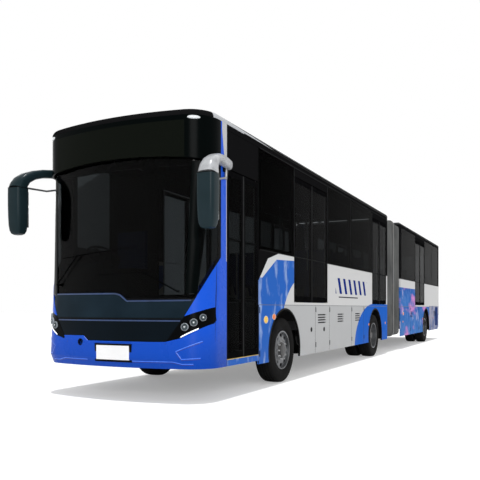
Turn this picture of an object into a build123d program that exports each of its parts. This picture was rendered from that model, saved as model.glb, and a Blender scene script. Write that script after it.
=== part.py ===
from build123d import *
import math
import os

os.makedirs("parts", exist_ok=True)

# Articulated city bus with high platform doors. Millimetres; +X forward, +Y to the vehicle's left, +Z up.
# Lengthwise places are "stations": distances behind the nose.

# ---------------------------------------------------------------- driving dimensions
BODY_LENGTH = 18000.0
BODY_WIDTH = 2500.0
DRAWN_LENGTH = 18000.0          # every station below is given on a body of this length
DRAWN_WIDTH = 2500.0            # and the nose outlines on one of this width
MIRROR_REACH = 190.0            # mirror heads ahead of the nose
NOSE_X = (BODY_LENGTH - MIRROR_REACH) / 2
SIDE_Y = BODY_WIDTH / 2
WALL = 60.0                     # side wall thickness
FLAP_T = 25.0                   # skirt flap thickness
GLASS_T = 6.0
PANEL_T = 20.0
GAP = 4.0                       # seam between outer panels
SEAT_GAP = 0.3                  # bonded or bolted pieces lie this close

SKIRT_Z = 354.0
FRONT_SKIRT_Z = 403.0
BELT_Z = 1173.0                 # top of the skirt flaps
FLOOR_Z = 1200.0                # floor's upper face
FLOOR_T = 70.0
WAIST_Z = 1930.0                # lower edge of the side glass
GLASS_TOP_Z = 3335.0
WALL_TOP_Z = 3400.0
ROOF_Z = 3480.0
ROOF_T = 50.0
ROOF_EDGE_R = 70.0

FRONT_END = 9432.0              # rear face of the front section
REAR_START = 11032.0            # front face of the rear section
PIVOT = (FRONT_END + REAR_START) / 2

WHEEL_R = 490.0
WHEEL_Y = SIDE_Y - 168.0                # outer wheel's centre plane
TYRE_W = 280.0
RIM_R = 286.0
TWIN_PITCH = 330.0
KINGPIN_Y = SIDE_Y - 230.0
ARCH_R = 625.0
REAR_MASK_START = DRAWN_LENGTH - 300.0
AXLES = {"front": 2626.0, "middle": 8209.0, "rear": DRAWN_LENGTH - 2856.0}

DOOR_SILL_Z = 1215.0
DOOR_TOP_Z = 3195.0
STEP_SILL_Z = 480.0
STEP_DOOR_TOP_Z = 2850.0
LEAF_T = 40.0
LEAF_FRAME = 70.0
LEAF_GAP = 8.0
SHAFT_R = 16.0
SHAFT_INSET = 30.0              # shaft's centre from the leaf's jamb edge
SHAFT_DEPTH = 45.0              # shaft's centre inside the body side

# name: first station, last station, sill height, top height
DOORS = {
    "step": (717.0, 1662.0, STEP_SILL_Z, STEP_DOOR_TOP_Z),
    "platform_1": (2997.0, 4681.0, DOOR_SILL_Z, DOOR_TOP_Z),
    "platform_2": (7912.0, 9328.0, DOOR_SILL_Z, DOOR_TOP_Z),
    "platform_3": (DRAWN_LENGTH - 4826.0, DRAWN_LENGTH - 3154.0, DOOR_SILL_Z, DOOR_TOP_Z),
}
FRONT_DOORS_LEFT = ("step", "platform_1", "platform_2")
FRONT_DOORS_RIGHT = ("platform_1", "platform_2")
REAR_DOORS = ("platform_3",)

PILLAR = 80.0
WINDOW_SILL_Z = 1990.0
WINDOW_TOP_Z = 3195.0
# bays of glass between doors: first station, last station
FRONT_BAYS_LEFT = ((1662.0, 2997.0), (4681.0, 6170.0), (6170.0, 7912.0))
FRONT_BAYS_RIGHT = ((717.0, 1662.0), (1662.0, 2997.0), (4681.0, 6170.0), (6170.0, 7912.0))
REAR_SPLIT = DRAWN_LENGTH - 1750.0
REAR_BAYS = ((REAR_START + 100, DOORS["platform_3"][0]), (DOORS["platform_3"][1], REAR_SPLIT),
             (REAR_SPLIT, REAR_MASK_START - 60))

# skirt flaps: first station, last station
FRONT_FLAPS = ((1662.0, 4000.0), (4000.0, 4770.0), (4770.0, 6220.0), (6220.0, 7170.0), (7170.0, FRONT_END))
REAR_ARCH_FLAP = (DRAWN_LENGTH - 4200.0, DRAWN_LENGTH - 1700.0)
REAR_SEAM = REAR_ARCH_FLAP[0] - 1400.0
REAR_FLAPS = ((REAR_START, REAR_SEAM), (REAR_SEAM, REAR_ARCH_FLAP[0]), REAR_ARCH_FLAP,
              (REAR_ARCH_FLAP[1], REAR_MASK_START))
# louvre groups in the flaps: first station, last station
LOUVRES = ((4140.0, 4580.0), (5280.0, 5670.0), (6500.0, 6900.0), (DRAWN_LENGTH - 5550.0, DRAWN_LENGTH - 5200.0),
           (DRAWN_LENGTH - 1300.0, DRAWN_LENGTH - 700.0))
LOUVRE_Z = (850.0, 1030.0)
LOUVRE_SLOTS = 4

# nose plan
NOSE_ARC_R = 4200.0
CORNER_R = 380.0
MASK_END = 717.0                # the mask ends at the step door
PILLAR_START = 560.0            # blue pillar strip starts here on the side
MASK_T = 40.0
SCREEN_T = 8.0
# heights and set-backs of the nose, from the bumper's lower edge up
LOW_Z, LOW_SET = 403.0, 55.0
CREASE_Z, CREASE_SET = 520.0, 0.0
BUMPER_Z, BUMPER_SET = 722.0, 12.0
SCREEN_Z, SCREEN_SET = 1236.0, 45.0
DIAG_TOP_Z, DIAG_TOP_SET = 1759.0, 60.0
SCREEN_TOP_Z, SCREEN_TOP_SET = 2930.0, 95.0
HEADER_SET = 30.0
SCREEN_RECESS = 15.0
FLAP_RECESS = 6.0
HEADER_SIDE_Z = 2868.0
HEADER_MID_Z = 2945.0
# the lower edge of the black face: plane through three points (station, y, z)
DIAGONAL = ((140.0, 983.0, 1028.0), (211.0, 1102.0, 1250.0), (579.0, 1250.0, 1759.0))
FACE_TIP = (765.0, 722.0)       # y, z of the black face's lower corners
# headlamp outline in front view, (y, z)
LAMP_OUTLINE = ((764, 727), (946, 770), (1128, 872), (1237, 940), (1246, 976), (1240, 1136), (1145, 1093), (980, 1030))
LAMP_DEPTH = 60.0
TOW_SPOT = (-480.0, 700.0)      # tow socket's y and height
TOW_R = 22.0
TOW_LEN = 120.0
TOW_HOLE_R = 36.0               # hole in the bumper in front of the socket

MIRROR_Y = SIDE_Y + 190.0
MIRROR_W = 200.0
MIRROR_D = 180.0
MIRROR_Z = (2030.0, 2690.0)
MIRROR_ROOT = (650.0, 2830.0)   # station, height on the pillar

RAIL_Y = (390.0, 460.0)
RAIL_Z = (700.0, 950.0)
HORN_Z = (420.0, 640.0)         # front ends of the rails, dropped under the step well
SPRING_R = 120.0

PIVOT_PIN_R = 60.0
RING_R = 420.0
BELLOWS_Y = SIDE_Y - 35.0
BELLOWS_Z = (400.0, 3390.0)
BELLOWS_DEPTH = 110.0
FOLDS = 9                       # folds in each half of the bellows
HOOP_W = 60.0
HOOP_Y = SIDE_Y - 15.0
HOOP_Z = (380.0, 3440.0)

SEAT_W = 430.0
SEAT_PITCH = 740.0
SEAT_Z = FLOOR_Z + 430.0
AISLE_Y = SIDE_Y - 100.0                # outer edge of the seats

AC_LENGTH = 2500.0
AC_WIDTH = 1300.0
AC_HEIGHT = 170.0
AC_STATIONS = (3600.0, DRAWN_LENGTH - 4200.0)


# ---------------------------------------------------------------- helpers
def at(station):
    """X of a drawn station, which counts back from the nose."""
    return NOSE_X - station * BODY_LENGTH / DRAWN_LENGTH


def block(s0, s1, y0, y1, z0, z1):
    """Box between two stations, two widths and two heights."""
    return Pos(at((s0 + s1) / 2), (y0 + y1) / 2, (z0 + z1) / 2) * Box(at(s0) - at(s1), abs(y1 - y0), z1 - z0)


def both(shape):
    """The shape and its twin on the other side."""
    return [shape, mirror(shape, about=Plane.XZ)]


def rod_z(station, y, radius, z0, z1):
    return Pos(at(station), y, (z0 + z1) / 2) * Cylinder(radius, z1 - z0)


def rod_y(station, z, radius, y0, y1):
    return Pos(at(station), (y0 + y1) / 2, z) * Rot(90, 0, 0) * Cylinder(radius, abs(y1 - y0))


def rod_x(y, z, radius, s0, s1):
    return Pos(at((s0 + s1) / 2), y, z) * Rot(0, 90, 0) * Cylinder(radius, at(s0) - at(s1))


def save(node, shapes):
    """Write one node: every solid of the given shapes."""
    solids = []
    for shape in shapes if isinstance(shapes, (list, tuple)) else [shapes]:
        solids += shape.solids()
    export_step(Compound(children=solids), f"parts/{node}.step")


def plan_face(z, inset=0.0, end=1200.0):
    """Plan of the nose at one height: a shallow arc, two rounded corners and straight sides."""
    half = SIDE_Y - inset
    big, small = NOSE_ARC_R - inset, CORNER_R - inset
    corner_y = SIDE_Y - CORNER_R
    swing = math.asin(corner_y / (NOSE_ARC_R - CORNER_R))
    corner_x = NOSE_X - NOSE_ARC_R + (NOSE_ARC_R - CORNER_R) * math.cos(swing)
    middle = (swing + math.pi / 2) / 2
    tangent = (NOSE_X - NOSE_ARC_R + big * math.cos(swing), big * math.sin(swing))
    bulge = (corner_x + small * math.cos(middle), corner_y + small * math.sin(middle))
    left = [Line((at(end), half), (corner_x, half)), ThreePointArc((corner_x, half), bulge, tangent)]
    nose = ThreePointArc(tangent, (NOSE_X - inset, 0), (tangent[0], -tangent[1]))
    right = [ThreePointArc((tangent[0], -tangent[1]), (bulge[0], -bulge[1]), (corner_x, -half)),
             Line((corner_x, -half), (at(end), -half))]
    back = Line((at(end), -half), (at(end), half))
    return Pos(0, 0, z) * make_face(Curve() + left + [nose] + right + [back])


def nose_prism(z0, z1, set0, set1, inset=0.0, end=1200.0):
    """Prism of the nose plan that leans back from set0 to set1."""
    face = plan_face(z0, inset, end + max(set0, set1) + 100).face().moved(Location((-set0, 0, 0)))
    return Part() + Solid.extrude(face, Vector(set0 - set1, 0, z1 - z0))


def nose_band(z0, z1, set0, set1, thickness, end, standoff=0.0):
    """Leaning shell round the nose, back to one station."""
    outer = nose_prism(z0, z1, set0, set1, standoff, end)
    inner = nose_prism(z0, z1, set0, set1, standoff + thickness, end)
    keep = block(-200, end, -SIDE_Y, SIDE_Y, z0, z1)
    return (outer - inner) & keep


def front_prism(points):
    """Region drawn in front view, (y, z), carried back through the nose."""
    face = make_face(Polyline(*[(y * BODY_WIDTH / DRAWN_WIDTH, z) for y, z in points], close=True))
    plane = Plane(origin=(NOSE_X + 300, 0, 0), x_dir=(0, 1, 0), z_dir=(1, 0, 0))
    return extrude(plane * face, -1400)


def above_diagonal(lift):
    """Everything above the two diagonal edges of the black face, raised by lift."""
    p, q, r = [Vector(at(s), y * BODY_WIDTH / DRAWN_WIDTH, z) for s, y, z in DIAGONAL]
    normal = (q - p).cross(r - p).normalized()
    if normal.Z < 0:
        normal = normal * -1
    plane = Plane(origin=q + normal * lift, z_dir=normal)
    reach = 4 * BODY_WIDTH
    half_space = extrude(plane * Rectangle(reach, reach), reach / 2)
    return half_space & mirror(half_space, about=Plane.XZ)


def face_region(gap):
    """The black face: the screen and its flap, inside the mask by one gap."""
    tip_y, tip_z = FACE_TIP
    knee_y, knee_z = DIAGONAL[0][1], DIAGONAL[0][2]
    lower = front_prism(((-tip_y + gap, tip_z + gap), (tip_y - gap, tip_z + gap),
                         (knee_y - gap, knee_z), (knee_y - 300, WAIST_Z), (-knee_y + 300, WAIST_Z),
                         (-knee_y + gap, knee_z)))
    lower = lower & block(-300, PILLAR_START, -SIDE_Y - 50, SIDE_Y + 50, tip_z, WAIST_Z)
    upper = above_diagonal(gap) & block(-300, PILLAR_START - gap, -SIDE_Y - 50, SIDE_Y + 50, knee_z, ROOF_Z)
    return lower + upper


def header_region():
    """Above the arched lower edge of the header."""
    edge = ThreePointArc((-SIDE_Y - 50, HEADER_SIDE_Z), (0, HEADER_MID_Z), (SIDE_Y + 50, HEADER_SIDE_Z))
    sides = Polyline((SIDE_Y + 50, HEADER_SIDE_Z), (SIDE_Y + 50, ROOF_Z + 50),
                     (-SIDE_Y - 50, ROOF_Z + 50), (-SIDE_Y - 50, HEADER_SIDE_Z))
    plane = Plane(origin=(NOSE_X + 300, 0, 0), x_dir=(0, 1, 0), z_dir=(1, 0, 0))
    return extrude(plane * make_face(Curve() + [edge, sides]), -1400)


# ---------------------------------------------------------------- nose
face_hole = face_region(0.0)
face_fill = face_region(GAP)
header = header_region()
lamp_left = front_prism(LAMP_OUTLINE) & block(-300, PILLAR_START - 60, 0, SIDE_Y + 50, 0, 2000)
lamps = lamp_left + mirror(lamp_left, about=Plane.XZ)

# heights and set-backs of the mask's bands
MASK_BANDS = (
    (LOW_Z, CREASE_Z, LOW_SET, CREASE_SET),
    (CREASE_Z, BUMPER_Z, CREASE_SET, BUMPER_SET),
    (BUMPER_Z, SCREEN_Z, BUMPER_SET, SCREEN_SET),
    (SCREEN_Z, DIAG_TOP_Z, SCREEN_SET, DIAG_TOP_SET),
    (DIAG_TOP_Z, WALL_TOP_Z, DIAG_TOP_SET, DIAG_TOP_SET),
)
mask = Part()
for z0, z1, set0, set1 in MASK_BANDS:
    band = nose_band(z0, z1, set0, set1, MASK_T, MASK_END - GAP)
    mask += band if z1 <= BUMPER_Z else band - face_hole - lamps

# ledges behind the mask's edge that the screen and the flap seat on, with a cowl and a header beam
LEDGE_W = 45.0
LEDGE_T = 24.0
ledge_ring = face_region(-1.0) - face_region(LEDGE_W)
flap_ledge = nose_band(BUMPER_Z - 20, SCREEN_Z, BUMPER_SET + FLAP_RECESS, SCREEN_SET + FLAP_RECESS,
                       LEDGE_T, PILLAR_START + 40, PANEL_T + SEAT_GAP)
screen_ledge = nose_band(SCREEN_Z, SCREEN_TOP_Z + 60, SCREEN_SET + SCREEN_RECESS, SCREEN_TOP_SET, LEDGE_T,
                         PILLAR_START + 40, SCREEN_T + SEAT_GAP)
screen_ledge -= Pos(0, 0, -GAP) * header
BEAM_INSET = PANEL_T + GAP      # cowl and header beam lie behind the outer panels
cowl_set = SCREEN_SET + FLAP_RECESS
cowl = nose_band(SCREEN_Z - 60, SCREEN_Z + 50, cowl_set, cowl_set, MASK_T, PILLAR_START + 40, BEAM_INSET)
header_beam = nose_band(HEADER_SIDE_Z - 40, HEADER_MID_Z + 50, SCREEN_TOP_SET, SCREEN_TOP_SET, MASK_T,
                        PILLAR_START + 40, BEAM_INSET)
mask += ((flap_ledge + screen_ledge) & ledge_ring) - lamps
mask += (cowl & face_region(-1.0)) + header_beam
mask -= rod_x(TOW_SPOT[0], TOW_SPOT[1], TOW_HOLE_R, 0, 170)
save("front_mask", mask)

screen = nose_band(SCREEN_Z, SCREEN_TOP_Z + 60, SCREEN_SET + SCREEN_RECESS, SCREEN_TOP_SET, SCREEN_T,
                   PILLAR_START)
screen = (screen & face_fill) - Pos(0, 0, -GAP) * header
save("windscreen", screen)

bonnet = nose_band(BUMPER_Z, SCREEN_Z - GAP, BUMPER_SET + FLAP_RECESS, SCREEN_SET + FLAP_RECESS, PANEL_T,
                   PILLAR_START)
bonnet = (bonnet & face_fill) - lamps
save("bonnet_panel", bonnet)

display = nose_band(HEADER_SIDE_Z - 20, WALL_TOP_Z - SEAT_GAP, HEADER_SET, HEADER_SET, PANEL_T, PILLAR_START)
display = display & header & face_fill
save("display_panel", display)

lamp_shell = nose_band(BUMPER_Z, SCREEN_Z, BUMPER_SET + 3, SCREEN_SET + 3, LAMP_DEPTH, PILLAR_START)
headlamps = lamp_shell & lamps
save("headlamps", headlamps)


# ---------------------------------------------------------------- side walls
def side_wall(s0, s1, doors, bays):
    """Left wall from the belt to the cant rail, with its doors and windows cut."""
    wall = block(s0, s1, SIDE_Y - WALL, SIDE_Y, BELT_Z - 43, WALL_TOP_Z)
    wall -= block(s0, s1, SIDE_Y - FLAP_T - SEAT_GAP, SIDE_Y, 0, BELT_Z)
    for bay0, bay1 in bays:
        wall -= block(bay0 + GAP, bay1 - GAP, SIDE_Y - GLASS_T, SIDE_Y, WAIST_Z, GLASS_TOP_Z)
        wall -= block(bay0 + PILLAR, bay1 - PILLAR, SIDE_Y - WALL, SIDE_Y, WINDOW_SILL_Z, WINDOW_TOP_Z)
    for name in doors:
        d0, d1, sill, top = DOORS[name]
        wall -= block(d0, d1, SIDE_Y - WALL, SIDE_Y, sill, top + 10)
        wall -= block(d0 - PILLAR + GAP, d1 + PILLAR - GAP, SIDE_Y - GLASS_T, SIDE_Y, top + 30, GLASS_TOP_Z)
    return wall


def side_panes(doors, bays):
    """Bonded panes that cover each bay and the strip above each door."""
    panes = [block(bay0 + GAP + SEAT_GAP, bay1 - GAP - SEAT_GAP, SIDE_Y - GLASS_T, SIDE_Y,
                   WAIST_Z + SEAT_GAP, GLASS_TOP_Z - SEAT_GAP) for bay0, bay1 in bays]
    return panes


front_left = side_wall(MASK_END, FRONT_END, FRONT_DOORS_LEFT, FRONT_BAYS_LEFT)
front_right = mirror(side_wall(MASK_END, FRONT_END, FRONT_DOORS_RIGHT, FRONT_BAYS_RIGHT), about=Plane.XZ)
rear_left = side_wall(REAR_START, REAR_MASK_START, REAR_DOORS, REAR_BAYS)
rear_right = mirror(rear_left, about=Plane.XZ)
step_sill = block(MASK_END, DOORS["step"][1], SIDE_Y - WALL, SIDE_Y, FRONT_SKIRT_Z, STEP_SILL_Z)
save("wall_front_left", [front_left, step_sill])
save("wall_front_right", front_right)
save("wall_rear_left", rear_left)
save("wall_rear_right", rear_right)
save("side_glass_front", side_panes(FRONT_DOORS_LEFT, FRONT_BAYS_LEFT)
     + [mirror(pane, about=Plane.XZ) for pane in side_panes(FRONT_DOORS_RIGHT, FRONT_BAYS_RIGHT)])


# ---------------------------------------------------------------- skirt flaps
def flap_row(flaps):
    """Lower side flaps with wheel arches and louvres cut."""
    arches = [rod_y(s, WHEEL_R, ARCH_R, SIDE_Y - 2 * FLAP_T, SIDE_Y + FLAP_T) for s in AXLES.values()]
    row = []
    for s0, s1 in flaps:
        flap = block(s0 + GAP / 2, s1 - GAP / 2, SIDE_Y - FLAP_T, SIDE_Y, SKIRT_Z, BELT_Z - GAP)
        for arch in arches:
            flap -= arch
        for l0, l1 in LOUVRES:
            if s0 < l0 and l1 < s1:
                pitch = (LOUVRE_Z[1] - LOUVRE_Z[0]) / LOUVRE_SLOTS
                for k in range(LOUVRE_SLOTS):
                    z = LOUVRE_Z[0] + (k + 0.5) * pitch
                    flap -= block(l0, l1, SIDE_Y - FLAP_T, SIDE_Y, z - pitch / 4, z + pitch / 4)
        row.append(flap)
    return row


front_flaps = flap_row(FRONT_FLAPS)
right_sill_flap = block(MASK_END, FRONT_FLAPS[0][0] - GAP / 2, SIDE_Y - FLAP_T, SIDE_Y, FRONT_SKIRT_Z,
                        BELT_Z - GAP)
save("skirts_front", front_flaps + [mirror(flap, about=Plane.XZ) for flap in front_flaps + [right_sill_flap]])
rear_flaps = flap_row(REAR_FLAPS)
save("skirts_rear", rear_flaps + [mirror(flap, about=Plane.XZ) for flap in rear_flaps])


# ---------------------------------------------------------------- floors, with the step well
def floor_slab(s0, s1):
    """Floor slab with the edge rails that the walls and flaps bolt to."""
    return block(s0, s1, -SIDE_Y + WALL, SIDE_Y - WALL, FLOOR_Z - FLOOR_T, FLOOR_Z)


# step well: outer edge, inner edge, tread height
STEP_TREADS = ((SIDE_Y - WALL, 710.0, 450.0), (710.0, 460.0, 700.0), (460.0, 210.0, 950.0))
TREAD_T = 40.0
RISER_T = 20.0
well0, well1 = DOORS["step"][0], DOORS["step"][1]
FLOOR_NOSE = 90.0               # floor's nose lies this far behind the inner face of the mask
floor_front = extrude(plan_face(FLOOR_Z - FLOOR_T, WALL, FRONT_END - FLOOR_NOSE), FLOOR_T)
floor_front = Pos(-FLOOR_NOSE, 0, 0) * floor_front
floor_front -= block(well0, well1, STEP_TREADS[-1][1], SIDE_Y, FLOOR_Z - FLOOR_T, FLOOR_Z)
for outer, inner, z in STEP_TREADS:
    floor_front += block(well0, well1, inner - RISER_T, outer, z - TREAD_T, z)
    rise = FLOOR_Z if inner == STEP_TREADS[-1][1] else z + 250.0
    floor_front += block(well0, well1, inner - RISER_T, inner, z - TREAD_T, rise)
    for cheek in (well0, well1 - RISER_T):
        floor_front += block(cheek, cheek + RISER_T, inner - RISER_T, outer, z - TREAD_T, FLOOR_Z)
save("floor_front", floor_front)
floor_rear = floor_slab(REAR_START, DRAWN_LENGTH - 60)
save("floor_rear", floor_rear)


# ---------------------------------------------------------------- roofs
def roof_shell(outer_face, joint_behind):
    """Roof pan with a rounded edge all round, open below."""
    outer = extrude(outer_face, ROOF_Z - WALL_TOP_Z)
    top = outer.faces().sort_by(Axis.Z)[-1]
    inner_end = top.edges().sort_by(Axis.X)[0 if joint_behind else -1]
    return fillet([edge for edge in top.edges() if edge != inner_end], ROOF_EDGE_R)


ROOF_RIM = 60.0
roof_outer = roof_shell(Pos(-HEADER_SET, 0, 0) * plan_face(WALL_TOP_Z, 0, FRONT_END - HEADER_SET), True)
roof_pan = plan_face(WALL_TOP_Z, ROOF_RIM, FRONT_END - HEADER_SET - ROOF_RIM)
roof_pan = extrude(roof_pan, ROOF_Z - WALL_TOP_Z - ROOF_T)
save("roof_front", roof_outer - Pos(-HEADER_SET, 0, 0) * roof_pan)

rear_plan = Pos(at((REAR_START + DRAWN_LENGTH) / 2), 0, WALL_TOP_Z)
rear_plan *= Rectangle(at(REAR_START) - at(DRAWN_LENGTH), BODY_WIDTH)
roof_rear = roof_shell(fillet(rear_plan.vertices().sort_by(Axis.X)[:2], 120), False)
roof_rear -= block(REAR_START + ROOF_RIM, DRAWN_LENGTH - ROOF_RIM, -SIDE_Y + ROOF_RIM, SIDE_Y - ROOF_RIM,
                   WALL_TOP_Z, ROOF_Z - ROOF_T)
save("roof_rear", roof_rear)


def ac_unit(s0):
    """Low roof unit with sloping ends."""
    body = block(s0, s0 + AC_LENGTH, -AC_WIDTH / 2, AC_WIDTH / 2, ROOF_Z, ROOF_Z + AC_HEIGHT)
    return fillet(body.faces().sort_by(Axis.Z)[-1].edges(), 60)


save("roof_unit_front", ac_unit(AC_STATIONS[0]))
save("roof_unit_rear", ac_unit(AC_STATIONS[1]))

# ---------------------------------------------------------------- tail
REAR_CORNER_R = 120.0
REAR_SCREEN = (950.0, 2050.0, 3100.0)       # half width, sill, top
REAR_GRILLE = (700.0, 620.0, 1080.0)        # half width, lowest, highest
REAR_GRILLE_SLOTS = 6
tail_plan = Pos(at((REAR_MASK_START + DRAWN_LENGTH) / 2), 0, FRONT_SKIRT_Z)
tail_plan *= Rectangle(at(REAR_MASK_START) - at(DRAWN_LENGTH), BODY_WIDTH)
tail = extrude(fillet(tail_plan.vertices().sort_by(Axis.X)[:2], REAR_CORNER_R), WALL_TOP_Z - FRONT_SKIRT_Z)
tail -= block(REAR_MASK_START - 10, DRAWN_LENGTH - WALL, -SIDE_Y + WALL, SIDE_Y - WALL, 0, WALL_TOP_Z)
half, low, high = REAR_SCREEN
tail -= block(DRAWN_LENGTH - WALL, DRAWN_LENGTH, -half, half, low, high)
tail -= block(DRAWN_LENGTH - GLASS_T, DRAWN_LENGTH, -half - 60, half + 60, low - 60, high + 60)
half, low, high = REAR_GRILLE
pitch = (high - low) / REAR_GRILLE_SLOTS
for k in range(REAR_GRILLE_SLOTS):
    z = low + (k + 0.5) * pitch
    tail -= block(DRAWN_LENGTH - WALL, DRAWN_LENGTH, -half, half, z - pitch / 4, z + pitch / 4)
LAMP_R = 62.0
LAMP_SPOTS = ((1060.0, 800.0), (1060.0, 950.0), (1060.0, 1100.0))
rear_lamps = []
for y, z in LAMP_SPOTS:
    pocket = rod_x(y, z, LAMP_R + SEAT_GAP, DRAWN_LENGTH - 30, DRAWN_LENGTH)
    tail -= Compound(children=both(pocket))
    rear_lamps += both(rod_x(y, z, LAMP_R, DRAWN_LENGTH - 30 + SEAT_GAP, DRAWN_LENGTH))
save("rear_mask", tail)
save("rear_lamps", rear_lamps)
half, low, high = REAR_SCREEN
back_pane = block(DRAWN_LENGTH - GLASS_T, DRAWN_LENGTH, -half - 60 + SEAT_GAP, half + 60 - SEAT_GAP,
                  low - 60 + SEAT_GAP, high + 60 - SEAT_GAP)
rear_panes = side_panes(REAR_DOORS, REAR_BAYS)
save("side_glass_rear", rear_panes + [mirror(pane, about=Plane.XZ) for pane in rear_panes] + [back_pane])


# ---------------------------------------------------------------- doors
def door_leaf(hinge_s, free_s, sill, top):
    """Framed and glazed leaf with its turning shaft, on the left side."""
    s0, s1 = sorted((hinge_s, free_s))
    y1 = SIDE_Y - 2
    y0 = y1 - LEAF_T
    leaf = block(s0, s1, y0, y1, sill + 11, top - 5)
    mid = sill + (top - sill) * 0.42
    for z0, z1 in ((sill + 11 + LEAF_FRAME, mid), (mid + LEAF_FRAME / 2, top - 5 - LEAF_FRAME)):
        leaf -= block(s0 + LEAF_FRAME, s1 - LEAF_FRAME, y0, y1, z0, z1)
    glass = block(s0 + LEAF_FRAME, s1 - LEAF_FRAME, y1 - 12, y1 - 6, sill + 11 + LEAF_FRAME, top - 5 - LEAF_FRAME)
    leaf += glass
    inward = SHAFT_INSET if free_s > hinge_s else -SHAFT_INSET
    shaft = rod_z(hinge_s + inward, SIDE_Y - SHAFT_DEPTH, SHAFT_R, sill + SEAT_GAP, top + 10 - SEAT_GAP)
    return leaf + shaft


LEAF_SPECS = []
for name, (d0, d1, sill, top) in DOORS.items():
    middle = (d0 + d1) / 2
    LEAF_SPECS.append((name, "a", d0 + LEAF_GAP, middle - LEAF_GAP / 2, sill, top))
    LEAF_SPECS.append((name, "b", d1 - LEAF_GAP, middle + LEAF_GAP / 2, sill, top))
for name, leaf_id, hinge_s, free_s, sill, top in LEAF_SPECS:
    leaf = door_leaf(hinge_s, free_s, sill, top)
    save(f"door_{name}_left_{leaf_id}", leaf)
    if name != "step":
        save(f"door_{name}_right_{leaf_id}", mirror(leaf, about=Plane.XZ))


# ---------------------------------------------------------------- chassis
def ladder(s0, s1, members):
    """Two rails, cross members and the outriggers under the floor."""
    frame = Part()
    for y0, y1 in (RAIL_Y, (-RAIL_Y[1], -RAIL_Y[0])):
        frame += block(s0, s1, y0, y1, *RAIL_Z)
    for s in members:
        frame += block(s - 35, s + 35, -SIDE_Y + WALL, SIDE_Y - WALL, RAIL_Z[1] - 40, FLOOR_Z - FLOOR_T)
        frame += block(s - 35, s + 35, -RAIL_Y[0], RAIL_Y[0], RAIL_Z[0] + 60, RAIL_Z[1])
    return frame


RAIL_START = 1750.0
FRONT_MEMBERS = (1850.0, 3380.0, 4400.0, 5600.0, 6600.0, 7450.0, 9000.0, 9390.0)
REAR_MEMBERS = (REAR_START + 43.0, REAR_START + 968.0, DRAWN_LENGTH - 5000.0, DRAWN_LENGTH - 3700.0,
                DRAWN_LENGTH - 2000.0, DRAWN_LENGTH - 350.0)
chassis_front = ladder(RAIL_START, FRONT_END, FRONT_MEMBERS)
for sign in (-1, 1):
    y0, y1 = sorted((sign * RAIL_Y[0], sign * RAIL_Y[1]))
    chassis_front += block(300, RAIL_START + 120, y0, y1, *HORN_Z)
    chassis_front += block(RAIL_START, RAIL_START + 120, y0, y1, HORN_Z[0], RAIL_Z[1])
chassis_front += block(240, 300, -900, 900, *HORN_Z)
chassis_front += block(240, 300, TOW_SPOT[0] - 60, TOW_SPOT[0] + 60, HORN_Z[1], TOW_SPOT[1] + 60)
chassis_front += rod_x(TOW_SPOT[0], TOW_SPOT[1], 45, 170, 300)
chassis_front -= rod_x(TOW_SPOT[0], TOW_SPOT[1], TOW_R, 170, 170 + TOW_LEN)
RING_T = 80.0
RING_Z = 700.0
DRAWBAR_Z = (RING_Z, RING_Z + RING_T)
chassis_front += block(FRONT_END, PIVOT, -RAIL_Y[1], RAIL_Y[1], *DRAWBAR_Z)
chassis_front += rod_z(PIVOT, 0, RING_R, *DRAWBAR_Z)
chassis_front -= rod_z(PIVOT, 0, PIVOT_PIN_R + SEAT_GAP, DRAWBAR_Z[0] - 1, DRAWBAR_Z[1] + 1)
save("chassis_front", chassis_front)

RING_UP_Z = (RING_Z + RING_T + SEAT_GAP, RING_Z + 2 * RING_T)
TURN_FLOOR_R = 780.0
PIN_LOW_Z = 560.0
chassis_rear = ladder(REAR_START, DRAWN_LENGTH - 150, REAR_MEMBERS)
chassis_rear += block(PIVOT, REAR_START, -RAIL_Y[1], RAIL_Y[1], *RING_UP_Z)
chassis_rear += rod_z(PIVOT, 0, RING_R, *RING_UP_Z)
chassis_rear += rod_z(PIVOT, 0, PIVOT_PIN_R, PIN_LOW_Z, RING_UP_Z[1])
chassis_rear += rod_z(PIVOT, 0, 160, RING_UP_Z[1], FLOOR_Z - FLOOR_T)
chassis_rear += rod_z(PIVOT, 0, TURN_FLOOR_R, FLOOR_Z - FLOOR_T, FLOOR_Z - 5)
save("chassis_rear", chassis_rear)

ENGINE = (DRAWN_LENGTH - 1500.0, DRAWN_LENGTH - 400.0, 350.0, 460.0, 1080.0)
engine = block(ENGINE[0], ENGINE[1], -ENGINE[2], ENGINE[2], ENGINE[3], ENGINE[4])
engine += block(ENGINE[0] + 100, ENGINE[0] + 250, -RAIL_Y[0], RAIL_Y[0], RAIL_Z[0] + 60, RAIL_Z[0] + 160)
engine += block(ENGINE[1] - 250, ENGINE[1] - 100, -RAIL_Y[0], RAIL_Y[0], RAIL_Z[0] + 60, RAIL_Z[0] + 160)
save("engine", engine)

# ---------------------------------------------------------------- articulation
HOOP_T = 100.0
hoop_s0, hoop_s1 = PIVOT - HOOP_W / 2, PIVOT + HOOP_W / 2


def tunnel(s0, s1, half_width, z0, z1, radius):
    """Rounded rectangular prism between two stations."""
    plane = Plane(origin=(at(s1), 0, (z0 + z1) / 2), x_dir=(0, 1, 0), z_dir=(1, 0, 0))
    return extrude(plane * RectangleRounded(2 * half_width, z1 - z0, radius), at(s0) - at(s1))


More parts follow.
